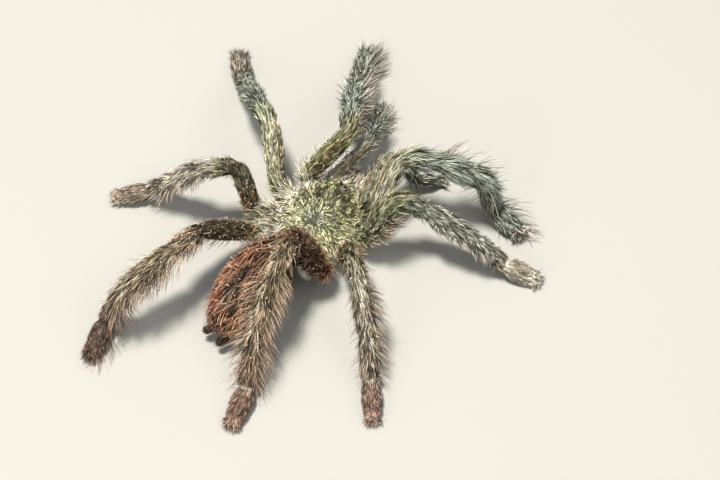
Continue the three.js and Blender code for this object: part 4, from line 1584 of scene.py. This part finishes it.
    def _skin_hairs(
        self, path: Array, normals: Array, hair: Hair, marks: Marks, chart: Array
    ) -> None:
        """Puts three-sided tapering skins round the paths and adds them to the piece.

        Args:
            path: Points of each hair, from root to tip.
            normals: The skin's direction at each root.
            hair: The kind of hair.
            marks: Numbers of each hair.
            chart: Place of each hair on the chart.
        """
        count, rings = len(path), hair.rings
        ways = unit(np.diff(path, axis=1))
        side = unit(np.cross(ways, normals[:, None] + 1e-4))
        other = np.cross(ways, side)
        share = np.arange(rings) / rings
        girth = hair.width / 2 * (1 - share**1.6 * 0.75) * self.rng.uniform(0.75, 1.25, (count, 1))
        phase = self.rng.uniform(0, FULL_TURN, count)
        loops = []
        for corner in range(3):
            angle = phase + corner * FULL_TURN / 3
            spoke = side * np.cos(angle)[:, None, None] + other * np.sin(angle)[:, None, None]
            loops.append(path[:, :-1] + spoke * girth[..., None])
        body = np.stack(loops, 2).reshape(count, rings * 3, 3)
        points = np.concatenate([body, path[:, -1:]], 1)
        triangles = [(0, 2, 1)]
        for j in range(rings - 1):
            for corner in range(3):
                a, b = 3 * j + corner, 3 * j + (corner + 1) % 3
                triangles += [(a, b, b + 3), (a, b + 3, a + 3)]
        top = 3 * (rings - 1)
        triangles += [(top + corner, top + (corner + 1) % 3, 3 * rings) for corner in range(3)]
        size = 3 * rings + 1
        firsts = (np.arange(count) * size)[:, None, None]
        faces = (np.array(triangles)[None] + firsts).reshape(-1, 3)
        across = np.tile([-0.5, 0.0, 0.5], rings).tolist() + [0.0]
        along = np.repeat(share, 3).tolist() + [1.0]
        skew = np.tile([0.0, 0.2, 0.0], rings).tolist() + [0.0]
        patch = np.stack([np.array(across), np.array(along) - 0.5 + np.array(skew)], 1) * PATCH
        spread = {name: np.repeat(value, size) for name, value in marks.items()}
        spread["along"] = np.tile(along, count)
        charted = (chart[:, None] + patch).reshape(-1, 2)
        self.strands.add(points.reshape(-1, 3), faces, charted, spread)

    def build(self) -> bpy.types.Object:
        """Makes one mesh of all the hair that has grown.

        Returns:
            The piece, with its chart and its markings.
        """
        found = self.strands
        points, triangles = self.home.metres(np.vstack(found.points)), np.vstack(found.triangles)
        mesh = bpy.data.meshes.new(self.name)
        mesh.vertices.add(len(points))
        mesh.vertices.foreach_set("co", points.astype(np.float32).ravel())
        mesh.loops.add(triangles.size)
        mesh.loops.foreach_set("vertex_index", triangles.astype(np.int32).ravel())
        mesh.polygons.add(len(triangles))
        mesh.polygons.foreach_set("loop_start", np.arange(0, triangles.size, 3, dtype=np.int32))
        mesh.update(calc_edges=True)
        smooth(mesh)
        chart = np.vstack(found.chart)[triangles.ravel()]
        mesh.uv_layers.new(name=CHART).uv.foreach_set("vector", chart.astype(np.float32).ravel())
        set_marks(mesh, {name: np.concatenate(values) for name, values in found.marks.items()})
        self.piece = bpy.data.objects.new(self.name, mesh)
        bpy.context.scene.collection.objects.link(self.piece)
        self.triangles = len(triangles)
        return self.piece

    def dress(self, finish: "CoatFinish") -> None:
        """Gives the piece its finish."""
        self.piece.data.materials.append(finish.material())
        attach(self.piece, BODY)


# ---------------------------------------------------------------- finishes


class Value:
    """A socket of a finish, on which Python's operators add Math nodes."""

    def __init__(self, shader: "Shader", socket: bpy.types.NodeSocket) -> None:
        """Wraps a socket."""
        self.shader = shader
        self.socket = socket

    def _math(self, operation: str, *inputs: Any, clamp: bool = False) -> "Value":
        """Adds a Math node on values or numbers."""
        settings = {"operation": operation, "use_clamp": clamp}
        return self.shader.add("ShaderNodeMath", settings, dict(enumerate(inputs)))

    def __add__(self, other: Any) -> "Value":
        """self + other."""
        return self._math("ADD", self, other)

    __radd__ = __add__

    def __sub__(self, other: Any) -> "Value":
        """self - other."""
        return self._math("SUBTRACT", self, other)

    def __rsub__(self, other: Any) -> "Value":
        """other - self."""
        return self._math("SUBTRACT", other, self)

    def __mul__(self, other: Any) -> "Value":
        """self * other."""
        return self._math("MULTIPLY", self, other)

    __rmul__ = __mul__

    def __pow__(self, other: Any) -> "Value":
        """self ** other."""
        return self._math("POWER", self, other)

    def held(self) -> "Value":
        """Returns the value kept between 0 and 1."""
        return self._math("ADD", self, 0.0, clamp=True)


class Shader:
    """The nodes of one finish."""

    def __init__(self, name: str) -> None:
        """Starts a material with only its output."""
        self.material = bpy.data.materials.new(name)
        self.material.use_nodes = True
        self.tree = self.material.node_tree
        self.tree.nodes.clear()
        self.output = self.tree.nodes.new("ShaderNodeOutputMaterial")

    def add(
        self, kind: str, settings: dict[str, Any], inputs: dict[Any, Any], result: Any = 0
    ) -> Value:
        """Adds one node.

        Args:
            kind: The node's type.
            settings: What is set on the node itself, first.
            inputs: Values or links by the socket's name or number.
            result: The name or number of the output that is wanted.

        Returns:
            That output.
        """
        node = self.tree.nodes.new(kind)
        for name, value in settings.items():
            setattr(node, name, value)
        for name, value in inputs.items():
            socket = node.inputs[name]
            if isinstance(value, Value):
                self.tree.links.new(value.socket, socket)
            else:
                socket.default_value = value
        return Value(self, node.outputs[result])

    def mark(self, name: str) -> Value:
        """Returns a number that is stored on the points."""
        return self.add("ShaderNodeAttribute", {"attribute_name": name}, {}, "Fac")

    def noise(self, size: float, detail: float = 3.0, rough: float = 0.55) -> Value:
        """Returns noise whose features are about this many millimetres across, around 0.5."""
        place = self.add("ShaderNodeTexCoord", {}, {}, "Object")
        inputs = {"Vector": place, "Scale": METRE / size, "Detail": detail, "Roughness": rough}
        return self.add("ShaderNodeTexNoise", {}, inputs, "Fac")

    def mix(self, factor: Any, a: Any, b: Any, blend: str = "MIX") -> Value:
        """Mixes two colours."""
        settings = {"data_type": "RGBA", "blend_type": blend}
        return self.add("ShaderNodeMix", settings, {"Factor": factor, 6: a, 7: b}, 2)

    def grey(self, value: Value) -> Value:
        """Turns a number into a grey to multiply colours with."""
        return self.add("ShaderNodeCombineColor", {}, {0: value, 1: value, 2: value})

    def light(self, value: Value) -> Value:
        """Turns a brightness into a grey that is warmer the darker it is."""
        dim = value.held()
        channels = {0: value, 1: value * dim**0.04, 2: value * dim**0.2}
        return self.add("ShaderNodeCombineColor", {}, channels)

    def bump(self, height: Value, strength: float, depth: float) -> Value:
        """Turns a height into a normal."""
        inputs = {"Height": height, "Strength": strength, "Distance": depth / METRE}
        return self.add("ShaderNodeBump", {}, inputs)

    def surface(self, **sockets: Any) -> None:
        """Adds the surface itself, by its sockets' names with _ for a space."""
        inputs = {name.replace("_", " "): value for name, value in sockets.items()}
        shade = self.add("ShaderNodeBsdfPrincipled", {}, inputs)
        self.tree.links.new(shade.socket, self.output.inputs["Surface"])


Colour = tuple[float, float, float, float]


def srgb(red: int, green: int, blue: int) -> Colour:
    """Returns a colour for a socket from screen values of 0 to 255."""

    def one(value: int) -> float:
        """Takes one screen value to light."""
        share = value / 255
        return share / 12.92 if share <= 0.04045 else ((share + 0.055) / 1.055) ** 2.4

    return one(red), one(green), one(blue), 1.0


@dataclass(frozen=True)
class Palette:
    """The colours of the markings."""

    slate: Colour = srgb(150, 162, 154)
    umber: Colour = srgb(166, 142, 114)
    olive: Colour = srgb(160, 167, 112)
    rust: Colour = srgb(184, 112, 66)
    plum: Colour = srgb(152, 121, 108)
    gold: Colour = srgb(214, 196, 126)
    rose: Colour = srgb(226, 172, 152)
    pale: Colour = srgb(232, 226, 208)
    tip: Colour = srgb(206, 166, 150)

    def paint(self, shader: Shader) -> Value:
        """Lays the markings over one another.

        Args:
            shader: The finish that wants them.

        Returns:
            The colour at each point.
        """
        colour = shader.mix(shader.mark("warm"), self.slate, self.umber)
        for name in ("olive", "rust", "plum", "gold", "rose", "pale"):
            colour = shader.mix(shader.mark(name), colour, getattr(self, name))
        # The shade marking holds the animal's dark markings and, in places, painted shade.
        dark = 1 - shader.mark("shade") * 0.85
        return shader.mix(1.0, colour, shader.light(dark), "MULTIPLY")


@dataclass(frozen=True)
class CoatFinish:
    """Dry, slightly glossy hair, with painted shade that darkens it towards its root."""

    name: str
    palette: Palette = Palette()
    # root, peak and root_fade paint shade on each hair: dark at its root, bright towards its tip.
    root: float = 0.25
    peak: float = 1.5
    roughness: float = 0.5
    tipping: float = 0.6
    gloss: float = 0.45
    darkest: float = 0.03  # brightness of the hairs with the least chance
    spread: float = 2.1  # how much brighter those with the most are
    contrast: float = 1.8
    root_fade: float = 0.45  # the smaller, the shorter the dark root

    def material(self) -> bpy.types.Material:
        """Returns the finish's material."""
        shader = Shader(self.name)
        along, chance = shader.mark("along"), shader.mark("chance")
        colour = self.palette.paint(shader)
        tip = (shader.mark("tipped") * along * self.tipping).held()
        colour = shader.mix(tip, colour, self.palette.tip)
        # Painted shade: darker towards the hair's root.
        bright = self.root + (self.peak - self.root) * along**self.root_fade
        bright = bright * (self.darkest + self.spread * chance**self.contrast)
        mottle = 0.75 + 0.5 * shader.noise(2.2)
        colour = shader.mix(1.0, colour, shader.light(bright * mottle), "MULTIPLY")
        shader.surface(Base_Color=colour, Roughness=self.roughness, Specular_IOR_Level=self.gloss)
        return shader.material


@dataclass(frozen=True)
class SkinFinish:
    """Dark hide under the coat, with stubble and fine wrinkles."""

    name: str = "hide"
    palette: Palette = Palette()
    covered: float = 0.13  # brightness under the coat
    bared: float = 0.95  # and where a marking lies bare

    def material(self) -> bpy.types.Material:
        """Returns the finish's material."""
        shader = Shader(self.name)
        colour = self.palette.paint(shader)
        bare = shader.mark("gold") * 1.1 + shader.mark("pale") * 0.9 + shader.mark("rose") * 0.7
        bare = bare.held()
        fine = shader.noise(0.22, 4.0, 0.65)
        bright = (self.covered + (self.bared - self.covered) * bare) * (0.4 + 1.2 * fine)
        colour = shader.mix(1.0, colour, shader.light(bright), "MULTIPLY")
        rough = 0.62 - 0.25 * fine
        normal = shader.bump(fine + shader.noise(0.7), 0.7, 0.12)
        shader.surface(Base_Color=colour, Roughness=rough, Normal=normal, Specular_IOR_Level=0.4)
        return shader.material


@dataclass(frozen=True)
class LensFinish:
    """The wet black gloss of an eye."""

    name: str = "eye_gloss"

    def material(self) -> bpy.types.Material:
        """Returns the finish's material."""
        shader = Shader(self.name)
        cloud = shader.noise(0.25)
        colour = shader.mix(cloud, srgb(16, 13, 12), srgb(44, 34, 30))
        rough = 0.06 + 0.05 * cloud
        shader.surface(Base_Color=colour, Roughness=rough, Coat_Weight=0.6, Coat_Roughness=0.03)
        return shader.material


@dataclass(frozen=True)
class HornFinish:
    """Polished dark horn, redder and thinner towards its tip."""

    name: str = "horn"

    def material(self) -> bpy.types.Material:
        """Returns the finish's material."""
        shader = Shader(self.name)
        fibre = shader.noise(0.35, 4.0)
        colour = shader.mix(shader.mark("along"), srgb(30, 20, 18), srgb(82, 34, 22))
        colour = shader.mix(1.0, colour, shader.grey(0.7 + 0.6 * fibre), "MULTIPLY")
        normal = shader.bump(fibre, 0.3, 0.03)
        rough, coat = 0.18 + 0.16 * fibre, {"Coat_Weight": 0.3, "Coat_Roughness": 0.1}
        shader.surface(Base_Color=colour, Roughness=rough, Normal=normal, **coat)
        return shader.material


@dataclass(frozen=True)
class FloorFinish:
    """Plain pale board."""

    name: str = "floor_board"
    colour: Colour = srgb(170, 168, 161)

    def material(self) -> bpy.types.Material:
        """Returns the finish's material."""
        shader = Shader(self.name)
        shader.surface(Base_Color=self.colour, Roughness=0.85)
        return shader.material


# ---------------------------------------------------------------- eyes, fangs and claws


def join_copies(source: bpy.types.Object, places: Iterable[Matrix], name: str) -> bpy.types.Object:
    """Makes one piece from copies of a mesh.

    Args:
        source: The object to copy, which is removed.
        places: Where each copy goes; a mirrored copy keeps its faces outwards.
        name: The name of the piece.

    Returns:
        The joined piece, at the origin.
    """
    copies = []
    for place in places:
        copy = source.copy()
        copy.data = source.data.copy()
        copy.data.transform(place)
        if place.determinant() < 0:
            copy.data.flip_normals()
        bpy.context.scene.collection.objects.link(copy)
        copies.append(copy)
    bpy.data.objects.remove(source)
    empty_handed()
    for copy in copies:
        copy.select_set(True)
    bpy.context.view_layer.objects.active = copies[0]
    if len(copies) > 1:
        bpy.ops.object.join()
    copies[0].name = name
    copies[0].data.name = name
    return copies[0]


def placing(*columns: Array) -> Matrix:
    """Returns the matrix with these three axes and this place as its columns."""
    return Matrix(np.vstack([np.stack(columns, 1), [0, 0, 0, 1]]).tolist())


def basis(way: Array, up: Array, place: Array, size: float = 1.0) -> Matrix:
    """Returns the placing that takes +Y to way, +Z towards up and the origin to place."""
    y = unit(np.asarray(way, float))
    z = unit(np.asarray(up, float) - y * float(np.dot(up, y)))
    x = np.cross(y, z)
    return placing(x * size, y * size, z * size, place)


def bring_home(piece: bpy.types.Object, home: Home) -> None:
    """Takes a finished piece from the animal's frame to the solids', and shades it smooth."""
    move_points(piece.data, home.metres(places_of(piece.data)))
    smooth(piece.data)


@dataclass
class Eyes:
    """Eight glossy lenses, each in a low collar, on the mound of the carapace."""

    shield: Shield
    home: Home
    # Sideways, forwards and radius of one eye of each pair, on the mound.
    pairs: tuple[Triple, ...] = (
        (0.42, -0.15, 0.3),
        (0.92, -0.55, 0.24),
        (0.98, 0.2, 0.22),
        (0.62, 0.42, 0.18),
    )
    collar: Span = (-0.45, -0.1)  # from where to where the collar lies on a lens of radius 1
    collar_rise: float = 0.12

    def build(self) -> bpy.types.Object:
        """Models one lens and sets eight of them on the mound.

        Returns:
            The piece.
        """
        empty_handed()
        bpy.ops.mesh.primitive_uv_sphere_add(segments=28, ring_count=16, radius=1.0)
        lens = bpy.context.object
        bpy.ops.object.mode_set(mode="EDIT")
        bpy.ops.mesh.select_all(action="DESELECT")
        bpy.ops.object.mode_set(mode="OBJECT")
        for face in lens.data.polygons:
            face.select = self.collar[0] < face.center.z < self.collar[1]
        bpy.ops.object.mode_set(mode="EDIT")
        bpy.ops.mesh.extrude_region_shrink_fatten(
            TRANSFORM_OT_shrink_fatten={"value": self.collar_rise}
        )
        bpy.ops.object.mode_set(mode="OBJECT")
        apply_modifier(lens, "SUBSURF", levels=1, render_levels=1)
        places = []
        wide, long, high = self.shield.mound
        top = self.shield.mound_top() - 0.1
        for x, y, radius in self.pairs:
            fall = math.sqrt(max(0.05, 1 - (x / wide) ** 2 - (y / long) ** 2))
            for mirror in (1, -1):
                spot = np.array([mirror * x, self.shield.mound_y + y, top + high * fall * 0.96])
                out = unit(np.array([mirror * x / wide**2, y / long**2, fall / high + 0.2]))
                side = np.array([0.0, 1.0, 0.0])
                places.append(basis(np.cross(out, np.cross(side, out)), out, spot, radius))
        piece = join_copies(lens, places, "eyes")
        bring_home(piece, self.home)
        self.piece = piece
        return piece

    def dress(self, finish: LensFinish) -> None:
        """Gives the eyes their gloss, and lets them stand for the mound's solid."""
        self.piece.data.materials.clear()
        self.piece.data.materials.append(finish.material())
        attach(self.piece, BODY)
        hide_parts("eye_mound")


@dataclass
class Hook:
    """A curved, tapering horn that is extruded along an arc from a round root."""

    radius: float
    length: float
    sweep: float  # how far it curls, in degrees
    steps: int = 9
    flatten: float = 0.8
    taper: float = 0.75
    blunt: float = 0.35  # how far past its tip it would close, in steps

    def build(self) -> bpy.types.Object:
        """Models the horn with its root at the origin, running along +Y and curling down.

        Returns:
            The object, in millimetres.
        """
        empty_handed()
        bpy.ops.mesh.primitive_circle_add(
            vertices=12, radius=self.radius, fill_type="NGON", rotation=(math.pi / 2, 0, 0)
        )
        horn = bpy.context.object
        bpy.ops.object.transform_apply(location=False, rotation=True, scale=False)
        bpy.ops.object.mode_set(mode="EDIT")
        bpy.ops.mesh.select_all(action="SELECT")
        bpy.ops.transform.resize(value=(self.flatten, 1, 1))
        place, heading = Vector((0, 0, 0)), 0.0
        stride, turn = self.length / self.steps, math.radians(self.sweep) / self.steps
        for i in range(self.steps):
            heading -= turn
            step = Vector((0, math.cos(heading), math.sin(heading))) * stride
            place = place + step
            left = (1 - (i + 1) / (self.steps + self.blunt)) ** self.taper
            was = (1 - i / (self.steps + self.blunt)) ** self.taper
            bpy.ops.mesh.extrude_region_move(TRANSFORM_OT_translate={"value": step})
            bpy.ops.transform.rotate(value=turn, orient_axis="X", center_override=place)
            bpy.ops.transform.resize(value=(left / was,) * 3, center_override=place)
        bpy.ops.mesh.select_all(action="SELECT")
        bpy.ops.mesh.normals_make_consistent(inside=False)
        bpy.ops.object.mode_set(mode="OBJECT")
        apply_modifier(horn, "SUBSURF", levels=1, render_levels=1)
        run = places_of(horn.data) @ np.array([0, 1.0, 0])
        set_marks(horn.data, {"along": np.clip((run - run.min()) / np.ptp(run), 0, 1)})
        return horn


@dataclass
class Fangs:
    """The two fangs, folded back under the chelicerae."""

    home: Home
    offset: float = 1.5
    root: Span = (-14.1, 2.0)
    length: float = 3.6
    radius: float = 0.44
    sweep: float = 62
    way: Triple = (0, 0.72, -0.62)
    up: Triple = (0, -0.62, -0.72)

    def build(self) -> list[bpy.types.Object]:
        """Models each fang as a piece of its own.

        Returns:
            The left and the right fang.
        """
        self.pieces = []
        for side, mirror in (("left", 1), ("right", -1)):
            horn = Hook(self.radius, self.length, self.sweep).build()
            place = basis(self.way, self.up, (mirror * self.offset, *self.root))
            piece = join_copies(horn, [place], f"{side}_fang_horn")
            bring_home(piece, self.home)
            self.pieces.append(piece)
        return self.pieces

    def dress(self, finish: HornFinish) -> None:
        """Gives the fangs their horn, and lets them stand for their solids."""
        material = finish.material()
        for side, piece in zip(("left", "right"), self.pieces):
            piece.data.materials.clear()
            piece.data.materials.append(material)
            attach(piece, BODY)
            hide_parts(f"{side}_fang")


@dataclass
class Claws:
    """Two small hooks at the tip of every foot, between its lobes of short hair."""

    limbs: list[Limb]
    home: Home
    length: float = 1.05
    radius: float = 0.13
    sweep: float = 95
    forward: float = 0.72  # how far past the toe's last ring a claw stands
    aside: float = 0.17
    palp_size: float = 0.7

    def build(self) -> bpy.types.Object:
        """Models one claw and sets a pair on each foot.

        Returns:
            The piece.
        """
        horn = Hook(self.radius, self.length, self.sweep, steps=6).build()
        places = []
        for limb in self.limbs:
            small = self.palp_size if limb.plan.is_palp else 1.0
            way = unit(limb.way[-1] * [1, 1, 0])
            for aside in (1, -1):
                spot = limb.centre[-1] + way * self.forward * small
                spot = spot + limb.fore[-1] * aside * self.aside * small
                spot[2] = limb.centre[-1][2] * 0.92 + 0.1
                heading = way + limb.fore[-1] * aside * 0.16 + np.array([0, 0, 0.3])
                places.append(basis(heading, (0, 0, 1), spot, small))
        piece = join_copies(horn, places, "claws")
        bring_home(piece, self.home)
        self.piece = piece
        return piece

    def dress(self, finish: HornFinish) -> None:
        """Gives the claws their horn."""
        self.piece.data.materials.clear()
        self.piece.data.materials.append(finish.material())
        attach(self.piece, BODY)


# ---------------------------------------------------------------- stage


@dataclass(frozen=True)
class Lamp:
    """One square lamp that looks at the animal."""

    name: str
    place: Triple
    size: float
    watts: float
    colour: Triple


@dataclass
class Stage:
    """The pale floor and the soft light."""

    home: Home
    side: float = 6000.0
    lamps: tuple[Lamp, ...] = (
        Lamp("key", (140, 60, 885), 130, 13.5, (1.0, 0.97, 0.92)),
        Lamp("fill", (-260, -60, 400), 260, 0.48, (0.95, 0.98, 1.0)),
        Lamp("back", (-40, 320, 180), 200, 0.3, (1.0, 1.0, 1.0)),
    )
    sky: float = 0.36
    sky_colour: tuple[float, float, float, float] = (0.93, 0.96, 1.0, 1.0)

    def build(self) -> None:
        """Lays the floor and hangs the lamps."""
        empty_handed()
        bpy.ops.mesh.primitive_plane_add(size=self.side / METRE)
        self.floor = bpy.context.object
        self.floor.name = "floor"
        for lamp in self.lamps:
            self._hang(lamp)
        world = bpy.data.worlds.new("sky")
        world.use_nodes = True
        back = world.node_tree.nodes["Background"]
        back.inputs["Color"].default_value = self.sky_colour
        back.inputs["Strength"].default_value = self.sky
        bpy.context.scene.world = world
        bpy.context.scene.view_settings.view_transform = "Standard"

    def _hang(self, lamp: Lamp) -> None:
        """Hangs one lamp."""
        data = bpy.data.lights.new(lamp.name, "AREA")
        data.size, data.energy, data.color = lamp.size / METRE, lamp.watts, lamp.colour
        piece = bpy.data.objects.new(lamp.name, data)
        spot = Vector(self.home.metres(np.array(lamp.place)))
        piece.location = spot
        piece.rotation_euler = (-spot).to_track_quat("-Z", "Y").to_euler()
        bpy.context.scene.collection.objects.link(piece)

    def dress(self, finish: FloorFinish) -> None:
        """Gives the floor its finish."""
        self.floor.data.materials.append(finish.material())


@dataclass
class Viewpoint:
    """The camera, high above the animal and behind its right side."""

    home: Home
    place: Triple = (-108.5, 116.9, 277.5)
    view: Triple = (0.3185, -0.3796, -0.8686)
    up: Triple = (0.5583, -0.6653, 0.4955)
    lens: float = 87.68

    def build(self) -> None:
        """Sets up the camera."""
        data = bpy.data.cameras.new("camera")
        data.lens, data.sensor_width = self.lens, 36.0
        data.clip_start, data.clip_end = 0.01, 20.0
        camera = bpy.data.objects.new("camera", data)
        back, up = -unit(np.array(self.view)), unit(np.array(self.up))
        right = np.cross(up, back)
        spot = self.home.metres(np.array(self.place))
        camera.matrix_world = placing(right, up, back, spot)
        bpy.context.scene.collection.objects.link(camera)
        bpy.context.scene.camera = camera


# ---------------------------------------------------------------- the whole animal


# Name, slot and number of regions of each coat piece of the body, in the regions' order.
BODY_COATS = (
    ("coat_carapace", "carapace_coat", 1),
    ("coat_abdomen", "abdomen_coat", 1),
    ("coat_chelicerae", "chelicera_coat", 2),
    ("coat_underside", "underside_coat", 1),
    ("coat_spinnerets", "spinneret_skin", 2),
)
FIRST_SEED = 100


def coats(animal: Animal, skin: Skin, home: Home) -> list[Coat]:
    """Grows the coat, piece by piece.

    Args:
        animal: The plan.
        skin: The finished skin.
        home: The way to the solids' frame.

    Returns:
        The pieces, not yet built.
    """
    grown: list[Coat] = []

    def start(name: str, slot: str) -> Coat:
        """Starts a piece with a seed of its own."""
        coat = Coat(name, slot, skin, home, FIRST_SEED + len(grown))
        grown.append(coat)
        return coat

    for number, limb in enumerate(animal.limbs):
        slot = "rear_leg_coat" if limb.plan.pair in ("leg_3", "leg_4") else "front_leg_coat"
        start(f"coat_{limb.plan.name}", slot).grow(number, (-math.inf, FOOT))
    for side in ("left", "right"):
        feet = start(f"coat_{side}_feet", "foot_coat")
        own = [n for n, limb in enumerate(animal.limbs) if limb.plan.name.startswith(side)]
        for i, number in enumerate(own):

            def fit(chart: Array, i: int = i, count: int = len(own)) -> Array:
                """Gives each foot its own strip of the chart."""
                along = np.clip((chart[:, 1] - 0.82) / 0.18, 0.01, 0.99)
                return np.stack([(chart[:, 0] + i) / count, along], 1)

            feet.grow(number, (FOOT, math.inf), fit)
    number = len(animal.limbs)
    for name, slot, regions in BODY_COATS:
        coat = start(name, slot)
        for _ in range(regions):
            coat.grow(number)
            number += 1
    return grown


FINISHES = {
    "front_leg_coat": CoatFinish("front_leg_coat"),
    "rear_leg_coat": CoatFinish("rear_leg_coat"),
    "foot_coat": CoatFinish("foot_coat", root=0.5),
    "carapace_coat": CoatFinish("carapace_coat", peak=2.15),
    "abdomen_coat": CoatFinish("abdomen_coat", roughness=0.4, peak=1.62),
    "chelicera_coat": CoatFinish("chelicera_coat"),
    "underside_coat": CoatFinish("underside_coat"),
    "spinneret_skin": CoatFinish("spinneret_coat"),
}


def main() -> None:
    """Builds the animal and its stage, and reports each piece."""
    logging.basicConfig(level=logging.INFO, format="%(name)s: %(message)s")
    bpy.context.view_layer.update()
    home = Home()
    Viewpoint(home).build()
    stage = Stage(home)
    stage.build()
    stage.dress(FloorFinish())
    animal = Animal()
    skin = Skin(animal, home)
    skin.build()
    skin.dress(SkinFinish())
    LOG.info("skin: %d points, %d triangles", len(skin.points), len(skin.corners))
    total = len(skin.corners)
    for coat in coats(animal, skin, home):
        coat.build()
        coat.dress(FINISHES[coat.slot])
        total += coat.triangles
        LOG.info("%s: %d triangles", coat.name, coat.triangles)
    eyes = Eyes(animal.shield, home)
    eyes.build()
    eyes.dress(LensFinish())
    fangs = Fangs(home)
    fangs.build()
    fangs.dress(HornFinish("fang_horn"))
    claws = Claws(animal.limbs, home)
    claws.build()
    claws.dress(HornFinish("claw_horn"))
    LOG.info("all: about %d triangles", total)


if __name__ == "__main__":
    main()
